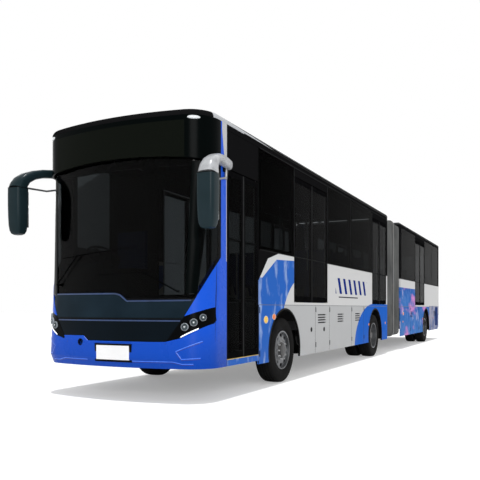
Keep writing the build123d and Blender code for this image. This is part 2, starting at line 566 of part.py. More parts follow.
hoop = tunnel(hoop_s0, hoop_s1, HOOP_Y, HOOP_Z[0], HOOP_Z[1], 120)
hoop -= tunnel(hoop_s0, hoop_s1, HOOP_Y - HOOP_T, HOOP_Z[0] + HOOP_T, HOOP_Z[1] - HOOP_T, 60)
BEAM_Z = (PIN_LOW_Z + 20, RING_Z - 40)
hoop += block(hoop_s0, hoop_s1, -HOOP_Y + HOOP_T / 2, HOOP_Y - HOOP_T / 2, *BEAM_Z)
hoop += rod_z(PIVOT, 0, PIVOT_PIN_R + 50, *BEAM_Z)
hoop -= rod_z(PIVOT, 0, PIVOT_PIN_R + SEAT_GAP, BEAM_Z[0] - 1, BEAM_Z[1] + 1)
save("centre_hoop", hoop)


def bellows_half(s0, s1):
    """Half of the bellows: pleats round a tunnel."""
    pitch = (s1 - s0) / FOLDS
    depth = 45.0
    low, high = BELLOWS_Z
    pleats = Part()
    for k in range(FOLDS):
        ridge = s0 + (k + 0.5) * pitch
        pleats += tunnel(ridge - pitch / 4, ridge + pitch / 4, BELLOWS_Y, low, high, 100)
    pleats += tunnel(s0, s1, BELLOWS_Y - depth, low + depth, high - depth, 80)
    inner = tunnel(s0, s1, BELLOWS_Y - BELLOWS_DEPTH, low + BELLOWS_DEPTH, high - BELLOWS_DEPTH, 50)
    return pleats - inner


save("bellows", [bellows_half(FRONT_END + SEAT_GAP, hoop_s0 - SEAT_GAP),
                 bellows_half(hoop_s1 + SEAT_GAP, REAR_START - SEAT_GAP)])


# ---------------------------------------------------------------- axles and knuckles
def air_spring(s, y, z0):
    return rod_z(s, y, SPRING_R, z0, RAIL_Z[0])


EYE_R = 55.0
EYE_Z = (WHEEL_R - 50, WHEEL_R + 50)
KINGPIN_R = 22.0
front_s = AXLES["front"]
BEAM_DROP = (400.0, 510.0)
front_axle = block(front_s - 50, front_s + 50, -700, 700, *BEAM_DROP)
for sign in (-1, 1):
    y0, y1 = sorted((sign * (KINGPIN_Y - 380.0), sign * KINGPIN_Y))
    front_axle += block(front_s - 45, front_s + 45, y0, y1, *EYE_Z)
    front_axle += rod_z(front_s, sign * KINGPIN_Y, EYE_R, *EYE_Z)
    y0, y1 = sorted((sign * 560.0, sign * 700.0))
    front_axle += block(front_s - 50, front_s + 50, y0, y1, BEAM_DROP[0], EYE_Z[1])
    y0, y1 = sorted((sign * RAIL_Y[0], sign * RAIL_Y[1]))
    front_axle += block(front_s - 420, front_s + 420, y0, y1, BEAM_DROP[1], BEAM_DROP[1] + 60)
for sign in (-1, 1):
    front_axle -= rod_z(front_s, sign * KINGPIN_Y, KINGPIN_R + SEAT_GAP, EYE_Z[0] - 1, EYE_Z[1] + 1)
    for s in (front_s - 320, front_s + 320):
        front_axle += air_spring(s, sign * sum(RAIL_Y) / 2, BEAM_DROP[1] + 60)
save("front_axle", front_axle)

LUG_T = 40.0
LUG_CLEAR = 6.0
SPINDLE_R = 45.0
HUB_GAP = 0.5
knuckle = rod_z(front_s, KINGPIN_Y, KINGPIN_R, EYE_Z[0] - LUG_CLEAR - LUG_T, EYE_Z[1] + LUG_CLEAR + LUG_T)
LUGS_Z = ((EYE_Z[0] - LUG_CLEAR - LUG_T, EYE_Z[0] - LUG_CLEAR),
          (EYE_Z[1] + LUG_CLEAR, EYE_Z[1] + LUG_CLEAR + LUG_T))
for z0, z1 in LUGS_Z:
    knuckle += block(front_s - 45, front_s + 45, KINGPIN_Y - 45, KINGPIN_Y + 105, z0, z1)
knuckle += block(front_s - 45, front_s + 45, KINGPIN_Y + 75, KINGPIN_Y + 105, EYE_Z[0] - LUG_CLEAR - LUG_T,
                 EYE_Z[1] + LUG_CLEAR + LUG_T)
knuckle += rod_y(front_s, WHEEL_R, SPINDLE_R, KINGPIN_Y + 90, WHEEL_Y + 100)
save("knuckle_left", knuckle)
save("knuckle_right", mirror(knuckle, about=Plane.XZ))

TUBE_R = 75.0
DRIVE_SPINDLE_R = 60.0
INNER_EDGE_Y = WHEEL_Y - TWIN_PITCH - TYRE_W / 2
for name, node in (("middle", "middle_axle"), ("rear", "rear_axle")):
    s = AXLES[name]
    axle = rod_y(s, WHEEL_R, TUBE_R, -INNER_EDGE_Y + 20, INNER_EDGE_Y - 20)
    axle += rod_y(s, WHEEL_R, DRIVE_SPINDLE_R, -WHEEL_Y, WHEEL_Y)
    if name == "rear":
        axle += rod_y(s, WHEEL_R, 200, -130, 130)
        axle += rod_x(0, WHEEL_R, 90, s, s + 330)
    for sign in (-1, 1):
        y0, y1 = sorted((sign * RAIL_Y[0], sign * RAIL_Y[1]))
        axle += block(s - 560, s + 560, y0, y1, WHEEL_R + 40, WHEEL_R + 100)
        axle += block(s - 80, s + 80, y0, y1, WHEEL_R, WHEEL_R + 100)
        for spring_s in (s - 430, s + 430):
            axle += air_spring(spring_s, (y0 + y1) / 2, WHEEL_R + 100)
    save(node, axle)


# ---------------------------------------------------------------- wheels
def turned(points, s, outward):
    """Revolve an (outward, radius) profile about a wheel's axle."""
    face = make_face(Polyline(*points, close=True))
    plane = Plane(origin=(at(s), 0, WHEEL_R), x_dir=(0, outward, 0), z_dir=(outward, 0, 0))
    return revolve(plane * face, Axis((at(s), 0, WHEEL_R), (0, 1, 0)))


TYRE_SIDES = 40
# half widths and radii of the tyre's bands, from one bead to the other
TYRE_BANDS = ((-140.0, 425.0), (-100.0, WHEEL_R), (100.0, WHEEL_R), (140.0, 425.0))


def ring_face(centre_y, s, radius):
    """Many-sided face square to the axle."""
    plane = Plane(origin=(at(s), centre_y, WHEEL_R), x_dir=(1, 0, 0), z_dir=(0, -1, 0))
    return plane * RegularPolygon(radius, TYRE_SIDES, major_radius=False, rotation=180 / TYRE_SIDES)


def tyre(s, centre_y, outward):
    """Tyre of many flats, with chamfered shoulders and a bore of flats round the rim."""
    bands = [ring_face(outward * (centre_y + v), s, radius) for v, radius in TYRE_BANDS]
    bore = [ring_face(outward * (centre_y + v), s, RIM_R + SEAT_GAP) for v in (-TYRE_W, TYRE_W)]
    return loft(bands, ruled=True) - loft(bore, ruled=True)


BARREL_T = 14.0
DISC_T = 14.0


def front_rim(s, outward):
    """Steel disc wheel, hub and cap on the spindle."""
    c = WHEEL_Y
    bore = SPINDLE_R + HUB_GAP
    tip = c + 100 + HUB_GAP
    barrel_in = RIM_R - BARREL_T
    profile = ((c - 120, RIM_R), (c + 125, RIM_R), (c + 125, barrel_in), (c + 85, barrel_in),
               (c + 105, 175), (c + 105, 110), (c + 140, 100), (c + 140, 0), (tip, 0), (tip, bore),
               (c + 60, bore), (c + 60, 120), (c + 91, 125), (c + 91, 170), (c + 70, barrel_in),
               (c - 120, barrel_in))
    return turned(profile, s, outward)


def twin_rim(s, outward):
    """Two barrels on one deep hub."""
    c = WHEEL_Y
    mid = c - TWIN_PITCH / 2
    bore = DRIVE_SPINDLE_R + HUB_GAP
    barrel_in = RIM_R - BARREL_T
    inner_c = c - TWIN_PITCH
    profile = ((inner_c - 125, RIM_R), (inner_c + 125, RIM_R), (inner_c + 125, barrel_in), (mid - DISC_T, 180),
               (mid + DISC_T, 180), (c - 125, barrel_in), (c - 125, RIM_R), (c + 125, RIM_R), (c + 125, barrel_in),
               (c - 100, barrel_in), (mid + 2 * DISC_T, 170), (mid + 2 * DISC_T, 120), (c + 50, 110), (c + 80, 80),
               (c + 80, 0), (c + HUB_GAP, 0), (c + HUB_GAP, bore), (inner_c - 60, bore), (inner_c - 60, 120),
               (mid - 2 * DISC_T, 130), (mid - 2 * DISC_T, 170), (inner_c + 100, barrel_in), (inner_c - 125, barrel_in))
    return turned(profile, s, outward)


for name, s in AXLES.items():
    for side, outward in (("left", 1), ("right", -1)):
        if name == "front":
            wheel = [tyre(s, WHEEL_Y, outward), front_rim(s, outward)]
        else:
            wheel = [tyre(s, WHEEL_Y, outward), tyre(s, WHEEL_Y - TWIN_PITCH, outward), twin_rim(s, outward)]
        save(f"wheel_{name}_{side}", wheel)


# ---------------------------------------------------------------- mirrors and wipers
root_s, root_z = MIRROR_ROOT
head_s = -MIRROR_REACH + MIRROR_D / 2
head = Pos(at(head_s), MIRROR_Y, sum(MIRROR_Z) / 2) * Box(MIRROR_D, MIRROR_W, MIRROR_Z[1] - MIRROR_Z[0])
head = fillet(head.edges(), 45)
ARM_R = 38.0
arm_path = FilletPolyline((at(root_s), SIDE_Y + ARM_R + 12, root_z), (at(root_s - 260), SIDE_Y + 90, root_z + 110),
                          (at(head_s + 80), MIRROR_Y, root_z + 90), (at(head_s), MIRROR_Y, MIRROR_Z[1] - 60),
                          radius=90)
arm = sweep(Plane(origin=arm_path @ 0, z_dir=arm_path % 0) * Circle(ARM_R), path=arm_path)
foot = block(root_s - 50, root_s + 60, SIDE_Y + SEAT_GAP, SIDE_Y + ARM_R + 20, root_z - 55, root_z + 55)
save("mirrors", both(head + arm + foot))

# pantograph wipers: pivot y and z, arm tip, blade ends, all in front view
WIPERS = (((894.0, 1322.0), (435.0, 1545.0), (-213.0, 1540.0), (621.0, 1564.0)),
          ((-940.0, 1433.0), (-560.0, 1781.0), (-866.0, 1773.0), (331.0, 1865.0)))


def on_screen(y, z, lift):
    """A point raised off the windscreen's outer face along its normal."""
    drop = NOSE_ARC_R - math.sqrt(NOSE_ARC_R ** 2 - y ** 2)
    rise = (z - SCREEN_Z) / (SCREEN_TOP_Z + 60 - SCREEN_Z)
    lean = SCREEN_SET + SCREEN_RECESS + rise * (SCREEN_TOP_SET - SCREEN_SET - SCREEN_RECESS)
    slope = y / NOSE_ARC_R
    return Vector(at(drop + lean) + lift * math.cos(slope), y + lift * math.sin(slope), z)


def bar(p, q, radius):
    """Straight round bar between two points."""
    p, q = Vector(p), Vector(q)
    plane = Plane(origin=p, z_dir=(q - p).normalized())
    return extrude(plane * Circle(radius), (q - p).length)


ARM_LIFT = 40.0
BLADE_LIFT = 11.0
BLADE_PARTS = 4                 # the blade bends round the glass in short runs
BLADE_R = 6.0
wipers = []
for pivot, tip, blade0, blade1 in WIPERS:
    share = (tip[0] - blade0[0]) / (blade1[0] - blade0[0])
    clip = (tip[0], blade0[1] + share * (blade1[1] - blade0[1]))
    stub = bar(on_screen(*pivot, 1.0), on_screen(*pivot, ARM_LIFT + 10), 13)
    arm_bar = bar(on_screen(*pivot, ARM_LIFT), on_screen(*clip, ARM_LIFT), 8)
    blade = Part()
    for k in range(BLADE_PARTS):
        ends = [(blade0[0] + (blade1[0] - blade0[0]) * j / BLADE_PARTS,
                 blade0[1] + (blade1[1] - blade0[1]) * j / BLADE_PARTS) for j in (k, k + 1)]
        blade += bar(on_screen(*ends[0], BLADE_LIFT), on_screen(*ends[1], BLADE_LIFT), BLADE_R)
    link = bar(on_screen(*clip, BLADE_LIFT - 4), on_screen(*clip, ARM_LIFT + 6), BLADE_R)
    wipers.append(stub + arm_bar + link + blade)
save("wipers", wipers)

# ---------------------------------------------------------------- cabin
DASH_INSET = 190.0
dash = extrude(plan_face(FLOOR_Z, DASH_INSET, 560), 420)
dash &= block(0, 560, -SIDE_Y, DOORS["step"][0] - 500, FLOOR_Z, FLOOR_Z + 420)
dash += block(380, 560, -1000, -400, FLOOR_Z + 420, FLOOR_Z + 520)
column = bar((at(640), -700, FLOOR_Z + 450), (at(760), -700, FLOOR_Z + 640), 28)
wheel_plane = Plane(origin=(at(760), -700, FLOOR_Z + 640), z_dir=(-0.53, 0, 0.85))
steering = wheel_plane * Torus(225, 16) + wheel_plane * Box(430, 40, 14) + column
steering += bar((at(540), -700, FLOOR_Z + 300), (at(640), -700, FLOOR_Z + 450), 40)
save("dashboard", dash + steering)


def seat(s, y0, y1):
    """Pedestal, cushion and back; the rider faces forward."""
    body = block(s - 200, s + 200, y0, y1, SEAT_Z - 60, SEAT_Z)
    body += block(s + 150, s + 210, y0, y1, SEAT_Z - 60, SEAT_Z + 620)
    body += block(s - 60, s + 80, (y0 + y1) / 2 - 60, (y0 + y1) / 2 + 60, FLOOR_Z, SEAT_Z - 60)
    return body


def seat_rows(stations, side):
    y0, y1 = sorted((side * (AISLE_Y - 2 * SEAT_W), side * AISLE_Y))
    return [seat(s, y0, y1) for s in stations]


FRONT_SEATS = [5100.0 + k * SEAT_PITCH for k in range(4)]
REAR_SEATS = [REAR_START + 468.0 + k * SEAT_PITCH for k in range(2)]
REAR_SEATS += [DRAWN_LENGTH - 2700.0 + k * SEAT_PITCH for k in range(3)]
driver = seat(1250, -950, -450) + block(1500, 1530, -1150, -300, FLOOR_Z, FLOOR_Z + 1900)
save("seats_front", seat_rows(FRONT_SEATS, 1) + seat_rows(FRONT_SEATS, -1) + [driver])
save("seats_rear", seat_rows(REAR_SEATS, 1) + seat_rows(REAR_SEATS, -1))

POLE_R = 17.0
POLE_Y = 262.0
RAIL_HEIGHT = 3050.0
CEILING_Z = ROOF_Z - ROOF_T


def pole_row(stations, s0, s1):
    """Stanchions from floor to ceiling with a grab rail along each side of the aisle."""
    row = []
    for sign in (-1, 1):
        y = sign * POLE_Y
        line = rod_x(y, RAIL_HEIGHT, POLE_R, s0, s1)
        for s in stations:
            line += rod_z(s, y, POLE_R, FLOOR_Z, CEILING_Z)
        row.append(line)
    return row


save("poles_front", pole_row((4800.0, 6200.0, 7700.0), 4800.0, 7700.0))
REAR_POLES = (REAR_START + 368.0, DRAWN_LENGTH - 5100.0, DRAWN_LENGTH - 3000.0, DRAWN_LENGTH - 1500.0)
save("poles_rear", pole_row(REAR_POLES, REAR_POLES[0], REAR_POLES[-1]))
print("nodes written")
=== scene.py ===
from math import atan2, cos, pi, radians, sin, sqrt
import bmesh
import bpy
from mathutils import Matrix, Vector


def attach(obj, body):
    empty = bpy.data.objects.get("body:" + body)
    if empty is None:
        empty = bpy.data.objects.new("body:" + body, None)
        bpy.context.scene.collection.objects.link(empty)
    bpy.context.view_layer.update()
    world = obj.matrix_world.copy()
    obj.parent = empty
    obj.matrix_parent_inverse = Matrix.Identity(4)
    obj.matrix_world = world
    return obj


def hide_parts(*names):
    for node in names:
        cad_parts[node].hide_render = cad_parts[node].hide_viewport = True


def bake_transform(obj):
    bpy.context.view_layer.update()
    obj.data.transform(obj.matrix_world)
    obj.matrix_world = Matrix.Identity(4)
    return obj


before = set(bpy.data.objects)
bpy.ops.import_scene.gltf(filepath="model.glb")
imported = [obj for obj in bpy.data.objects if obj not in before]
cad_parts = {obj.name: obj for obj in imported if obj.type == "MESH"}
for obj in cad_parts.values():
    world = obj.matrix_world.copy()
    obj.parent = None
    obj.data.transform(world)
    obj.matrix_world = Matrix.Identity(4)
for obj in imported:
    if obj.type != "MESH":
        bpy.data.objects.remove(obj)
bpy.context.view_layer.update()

# -------------------- stand, camera and lamps
# A white floor under a white studio. One lamp hangs straight above, so that the bus stands on a
# plain grey shadow of its own plan, and two broad ones light the nose and the sides.
CAMERA_PLACE = (14.922, 4.751, 1.125)
CAMERA_LOOK = (-0.8968, -0.4425)
CAMERA_LENS = 46.01
CAMERA_SHIFT_Y = 0.1419
FLOOR_GLOW = 0.28
FLOOR_REACH = 90.0
AMBIENT = 0.55
PLAIN_WHITE = (255, 255, 255)

camera_data = bpy.data.cameras.new("camera")
camera_data.lens = CAMERA_LENS
camera_data.sensor_width = 36.0
camera_data.shift_y = CAMERA_SHIFT_Y
camera_data.clip_end = 400.0
camera = bpy.data.objects.new("camera", camera_data)
camera.location = CAMERA_PLACE
camera.rotation_euler = (pi / 2, 0.0, atan2(-CAMERA_LOOK[0], CAMERA_LOOK[1]))
bpy.context.collection.objects.link(camera)
bpy.context.scene.camera = camera
bpy.context.scene.view_settings.view_transform = "Standard"


def level(shade):
    """Display level, 0 to 255, as the strength that a shader takes."""
    v = shade / 255
    return v / 12.92 if v <= 0.04045 else ((v + 0.055) / 1.055) ** 2.4


def feed(tree, socket, value):
    """Give a socket its value, or the output that drives it. A colour comes as display levels."""
    if isinstance(value, bpy.types.NodeSocket):
        tree.links.new(value, socket)
    elif socket.type == "RGBA":
        socket.default_value = [*map(level, value), 1.0]
    else:
        socket.default_value = value


def add_node(tree, kind, *sockets, **settings):
    """A new node with its settings and what its sockets hold."""
    node = tree.nodes.new(kind)
    for key, value in settings.items():
        setattr(node, key, value)
    for key, value in sockets:
        feed(tree, node.inputs[key], value)
    return node


floor_mesh = bpy.data.meshes.new("studio_floor")
floor_corners = [(x * FLOOR_REACH, y * FLOOR_REACH, 0) for x, y in ((-1, -1), (1, -1), (1, 1), (-1, 1))]
floor_mesh.from_pydata(floor_corners, [], [(0, 1, 2, 3)])
studio_floor = bpy.data.objects.new("studio_floor", floor_mesh)
bpy.context.collection.objects.link(studio_floor)
floor_finish = bpy.data.materials.new("studio_floor")
floor_finish.use_nodes = True
tree = floor_finish.node_tree
tree.nodes.clear()
matt = add_node(tree, "ShaderNodeBsdfDiffuse").outputs[0]
glow = add_node(tree, "ShaderNodeEmission", ("Strength", FLOOR_GLOW)).outputs[0]
lit = add_node(tree, "ShaderNodeAddShader", (0, matt), (1, glow)).outputs[0]
seen = add_node(tree, "ShaderNodeLightPath").outputs["Is Camera Ray"]
sheet = add_node(tree, "ShaderNodeMixShader", (0, seen), (1, matt), (2, lit)).outputs[0]
add_node(tree, "ShaderNodeOutputMaterial", ("Surface", sheet))
floor_mesh.materials.append(floor_finish)

studio = bpy.data.worlds.new("studio")
studio.use_nodes = True
bpy.context.scene.world = studio
tree = studio.node_tree
tree.nodes.clear()
rays = add_node(tree, "ShaderNodeLightPath").outputs
bright = rays["Is Camera Ray"]
for ray in ("Is Glossy Ray", "Is Transmission Ray"):
    bright = add_node(tree, "ShaderNodeMath", (0, bright), (1, rays[ray]), operation="MAXIMUM").outputs[0]
soft, plain = [add_node(tree, "ShaderNodeBackground", ("Color", PLAIN_WHITE), ("Strength", glow)).outputs[0]
               for glow in (AMBIENT, 1.0)]
walls = add_node(tree, "ShaderNodeMixShader", (0, bright), (1, soft), (2, plain)).outputs[0]
add_node(tree, "ShaderNodeOutputWorld", ("Surface", walls))

# name: strength, spread in degrees, direction the light travels
LAMPS = {
    "above": (1.9, 1.0, (0.0, 0.0, -1.0)),
    "front_left": (1.35, 25.0, (-0.75, -0.55, -0.30)),
    "rear_right": (0.3, 30.0, (0.6, 0.7, -0.4)),
}
for name, (strength, spread, travel) in LAMPS.items():
    lamp_data = bpy.data.lights.new(name, "SUN")
    lamp_data.energy = strength
    lamp_data.angle = radians(spread)
    lamp = bpy.data.objects.new(name, lamp_data)
    lamp.rotation_euler = Vector(travel).to_track_quat("-Z", "Y").to_euler()
    bpy.context.collection.objects.link(lamp)

# -------------------- chassis, axles and engine
# Two welded steel rails with cross members, the axles with their air springs, and the engine
# block behind, sprayed satin black over primer. The floors above are grey studded sheet.
NOSE_X = 8.905


def at(station):
    """X of a station, which counts metres back from the nose."""
    return NOSE_X - station


class Finish:
    """One material: its shader, and short ways to feed the shader's sockets."""

    def __init__(self, name, colour, rough, metal=0.0, gloss=0.5):
        self.material = bpy.data.materials.new(name)
        self.material.use_nodes = True
        self.tree = self.material.node_tree
        self.shader = self.tree.nodes["Principled BSDF"]
        self.place = self.add("TexCoord").outputs["Object"]
        self.colour(colour)
        self.rough(rough)
        self.give("Metallic", metal)
        self.give("Specular IOR Level", gloss)

    def add(self, kind, *sockets, **settings):
        return add_node(self.tree, "ShaderNode" + kind, *sockets, **settings)

    def give(self, socket, value):
        feed(self.tree, self.shader.inputs[socket], value)

    def colour(self, value):
        self.give("Base Color", value)

    def rough(self, value):
        self.give("Roughness", value)

    def relief(self, height, strength, depth):
        bump = self.add("Bump", ("Height", height), ("Strength", strength), ("Distance", depth))
        self.give("Normal", bump.outputs[0])

    def axes(self):
        return self.add("SeparateXYZ", ("Vector", self.place)).outputs

    def maths(self, operation, a, b=0.0):
        return self.add("Math", (0, a), (1, b), operation=operation).outputs[0]

    def noise(self, scale, detail=3.0, stretch=(1.0, 1.0, 1.0)):
        spread = self.add("Mapping", ("Vector", self.place), ("Scale", stretch)).outputs[0]
        return self.add("TexNoise", ("Vector", spread), ("Scale", scale), ("Detail", detail)).outputs["Fac"]

    def between(self, value, low, high, to_low=0.0, to_high=1.0):
        return self.add("MapRange", ("Value", value), ("From Min", low), ("From Max", high),
                        ("To Min", to_low), ("To Max", to_high)).outputs[0]

    def mix(self, factor, a, b):
        return self.add("Mix", (0, factor), (6, a), (7, b), data_type="RGBA").outputs[2]


def dusty(name, colour, dust, rough, scale, depth, metal=0.0, gloss=0.5):
    """A sprayed or moulded finish: cloudy dust, patchy gloss and a fine grain."""
    finish = Finish(name, colour, rough, metal, gloss)
    cloud = finish.noise(scale * 0.06)
    finish.colour(finish.mix(finish.between(cloud, 0.35, 0.75), colour, dust))
    finish.rough(finish.between(cloud, 0.3, 0.7, rough * 0.85, min(1.0, rough * 1.15)))
    finish.relief(finish.noise(scale), 0.25, depth)
    return finish.material


def coat(material, *nodes):
    """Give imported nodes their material."""
    for name in nodes:
        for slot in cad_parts[name].material_slots:
            slot.material = material


chassis_black = dusty("chassis_black", (34, 34, 36), (66, 63, 60), 0.55, 60.0, 0.0015)
coat(chassis_black, "chassis_front", "chassis_rear", "engine", "front_axle", "middle_axle", "rear_axle",
     "knuckle_left", "knuckle_right")
floor_cover = dusty("floor_cover", (92, 95, 99), (112, 112, 112), 0.6, 160.0, 0.0006)
coat(floor_cover, "floor_front", "floor_rear")

# -------------------- wheels
# Steel disc wheels with ten nuts on a ring and hand holes near the rim, single at the front and
# twin behind. The tyres are moulded rubber with four grooves round the tread.
WHEEL_R = 0.49
WHEEL_Y = 1.082
TWIN_PITCH = 0.33
RIM_R = 0.286
AXLES = {"front": 2.626, "middle": 8.209, "rear": 15.144}
SIDES = (("left", 1), ("right", -1))
WHEEL_SIDES = 72
HUB_SIDES = 36
CREASE_ANGLE = 35


def turns(count):
    """Angles of a full turn in even steps, with the first one again at the end."""
    return [2 * pi * k / count for k in range(count + 1)]


class Stock:
    """Rigid parts gathered into one mesh, each with its own finish."""

    def __init__(self, name):
        self.name = name
        self.mesh = bmesh.new()
        self.finishes = []

    def mark(self, faces, material):
        if material not in self.finishes:
            self.finishes.append(material)
        for face in faces:
            face.material_index = self.finishes.index(material)
            face.smooth = True

    def solid(self, rings, material, closed=True, caps=True):
        """Skin over rings of points; closed rings, capped at both ends."""
        rows = [[self.mesh.verts.new(p) for p in ring] for ring in rings]
        count = len(rows[0])
        faces = []
        for low, high in zip(rows, rows[1:]):
            for i in range(count if closed else count - 1):
                j = (i + 1) % count
                faces.append(self.mesh.faces.new((low[i], low[j], high[j], high[i])))
        if caps:
            faces.append(self.mesh.faces.new(rows[0][::-1]))
            faces.append(self.mesh.faces.new(rows[-1]))
        self.mark(faces, material)
        return faces

    def box(self, low, high, material, bevel=0.0):
        low, high = ([min(a, b) for a, b in zip(low, high)], [max(a, b) for a, b in zip(low, high)])
        ring = ((low[0], low[1]), (high[0], low[1]), (high[0], high[1]), (low[0], high[1]))
        faces = self.solid([[(x, y, z) for x, y in ring] for z in (low[2], high[2])], material)
        if bevel:
            edges = list({edge for face in faces for edge in face.edges})
            made = bmesh.ops.bevel(self.mesh, geom=edges, offset=bevel, segments=2, affect="EDGES",
                                   profile=0.6)
            self.mark(made["faces"], material)

    def tube(self, points, radius, material, sides=16):
        """Round bar along a line of points."""
        points = [Vector(p) for p in points]
        rings = []
        across = (points[1] - points[0]).orthogonal().normalized()
        for i, point in enumerate(points):
            along = (points[min(i + 1, len(points) - 1)] - points[max(i - 1, 0)]).normalized()
            across = (across - along * across.dot(along)).normalized()
            over = along.cross(across)
            rings.append([point + (across * cos(a) + over * sin(a)) * radius for a in turns(sides)[:-1]])
        self.solid(rings, material)

    def turned(self, profile, centre, side, material, sides=WHEEL_SIDES):
        """Closed (outward, radius) profile revolved about a wheel's axle."""
        rings = [[(centre[0] + r * cos(a), centre[1] + side * v, centre[2] + r * sin(a)) for v, r in profile]
                 for a in turns(sides)[:-1]]
        return self.solid(rings + [rings[0]], material, caps=False)

    def make(self, body, replaces=(), slot=None):
        """The finished piece: doubles merged, faces turned out, creases kept sharp."""
        bmesh.ops.remove_doubles(self.mesh, verts=self.mesh.verts, dist=1e-5)
        bmesh.ops.recalc_face_normals(self.mesh, faces=self.mesh.faces)
        for edge in self.mesh.edges:
            edge.smooth = len(edge.link_faces) == 2 and edge.calc_face_angle(0.0) < radians(CREASE_ANGLE)
        data = bpy.data.meshes.new(self.name)
        self.mesh.to_mesh(data)
        self.mesh.free()
        for material in self.finishes:
            data.materials.append(getattr(material, "material", material))
        piece = bpy.data.objects.new(self.name, data)
        bpy.context.collection.objects.link(piece)
        if body:
            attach(piece, body)
        if replaces:
            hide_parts(*replaces)
        return piece


def ring_of(part, count, radius):
    """Geometry Nodes: count copies of a part's mesh on a ring round the Y axis, as a plain mesh."""
    tree = bpy.data.node_groups.new(f"ring_{part.name}", "GeometryNodeTree")
    tree.interface.new_socket("Geometry", in_out="INPUT", socket_type="NodeSocketGeometry")
    count_in = tree.interface.new_socket("Count", in_out="INPUT", socket_type="NodeSocketInt")
    radius_in = tree.interface.new_socket("Radius", in_out="INPUT", socket_type="NodeSocketFloat")
    tree.interface.new_socket("Geometry", in_out="OUTPUT", socket_type="NodeSocketGeometry")
    start = add_node(tree, "NodeGroupInput").outputs
    circle = add_node(tree, "GeometryNodeMeshCircle", ("Vertices", start["Count"]),
                      ("Radius", start["Radius"])).outputs["Mesh"]
    turn = add_node(tree, "GeometryNodeTransform", ("Geometry", circle),
                    ("Rotation", (pi / 2, 0.0, 0.0))).outputs["Geometry"]
    spread = add_node(tree, "GeometryNodeInstanceOnPoints", ("Points", turn),
                      ("Instance", start["Geometry"])).outputs["Instances"]
    solid = add_node(tree, "GeometryNodeRealizeInstances", ("Geometry", spread)).outputs["Geometry"]
    dress = add_node(tree, "GeometryNodeSetMaterial", ("Geometry", solid),
                     ("Material", part.data.materials[0])).outputs["Geometry"]
    add_node(tree, "NodeGroupOutput", (0, dress))
    modifier = part.modifiers.new("ring", "NODES")
    modifier.node_group = tree
    modifier[count_in.identifier] = count
    modifier[radius_in.identifier] = radius
    bpy.context.view_layer.update()
    made = bpy.data.meshes.new_from_object(part.evaluated_get(bpy.context.evaluated_depsgraph_get()))
    part.modifiers.clear()
    part.data = made
    return part


tyre_rubber = Finish("tyre_rubber", (16, 16, 17), 0.85, gloss=0.06)
tyre_rubber.colour(tyre_rubber.mix(tyre_rubber.noise(6.0), (12, 12, 13), (30, 29, 28)))
tyre_rubber.relief(tyre_rubber.noise(240.0), 0.3, 0.0006)
rim_steel = dusty("rim_steel", (118, 120, 123), (54, 54, 55), 0.36, 90.0, 0.0004, metal=0.55)
nut_steel = dusty("nut_steel", (176, 178, 180), (110, 108, 105), 0.3, 200.0, 0.0002, metal=0.9)
hub_black = dusty("hub_black", (38, 38, 40), (70, 68, 65), 0.45, 120.0, 0.0005)

# half of the tyre's section: distance from its middle, radius
TYRE_HALF = ((0.0, 0.490), (0.012, 0.490), (0.014, 0.477), (0.024, 0.477), (0.026, 0.4895), (0.062, 0.488),
             (0.064, 0.476), (0.074, 0.476), (0.076, 0.487), (0.108, 0.483), (0.122, 0.474), (0.129, 0.460),
             (0.1345, 0.430), (0.1395, 0.395), (0.1385, 0.360), (0.132, 0.330), (0.122, 0.310),
             (0.112, 0.296), (0.108, RIM_R + 0.0015))
TYRE_SECTION = [(-v, r) for v, r in reversed(TYRE_HALF[1:])] + list(TYRE_HALF)
FRONT_DISC = ((-0.120, 0.2855), (-0.118, 0.292), (-0.108, 0.292), (-0.100, 0.2855), (0.098, 0.2855),
              (0.108, 0.292), (0.124, 0.292), (0.125, 0.272), (0.088, 0.270), (0.094, 0.245), (0.099, 0.200),
              (0.104, 0.175), (0.105, 0.112), (0.097, 0.112), (0.094, 0.170), (0.088, 0.205), (0.080, 0.250),
              (0.070, 0.272), (-0.120, 0.272))
TWIN_DISC = ((-0.125, 0.2855), (-0.118, 0.292), (0.110, 0.292), (0.125, 0.292), (0.125, 0.272),
             (-0.095, 0.272), (-0.104, 0.245), (-0.112, 0.200), (-0.132, 0.175), (-0.145, 0.112),
             (-0.152, 0.112), (-0.146, 0.180), (-0.125, 0.205), (-0.118, 0.250), (-0.110, 0.272),
             (-0.125, 0.272))
INNER_BARREL = ((-0.125, 0.2855), (0.125, 0.2855), (0.125, 0.272), (-0.125, 0.272))
FRONT_HUB = ((0.095, 0.001), (0.095, 0.118), (0.112, 0.116), (0.118, 0.100), (0.132, 0.096), (0.137, 0.080),
             (0.1395, 0.001))
TWIN_HUB = ((-0.150, 0.001), (-0.150, 0.125), (-0.02, 0.112), (0.03, 0.110), (0.05, 0.100), (0.058, 0.082),
            (0.079, 0.076), (0.0795, 0.001))
NUT = ((0.0, 0.0005), (0.0, 0.0175), (0.006, 0.0175), (0.008, 0.0145), (0.026, 0.0140), (0.034, 0.009),
       (0.036, 0.0005))
NUTS = 10
NUT_RING_R = 0.1405
# disc and hub profiles, and how far out the nuts sit
WHEEL_KINDS = {"front": (FRONT_DISC, FRONT_HUB, 0.1035), "twin": (TWIN_DISC, TWIN_HUB, -0.138)}
HAND_HOLES = 10
HAND_HOLE_RADII = (0.200, 0.249)
HAND_HOLE_SHARE = (0.28, 0.72)


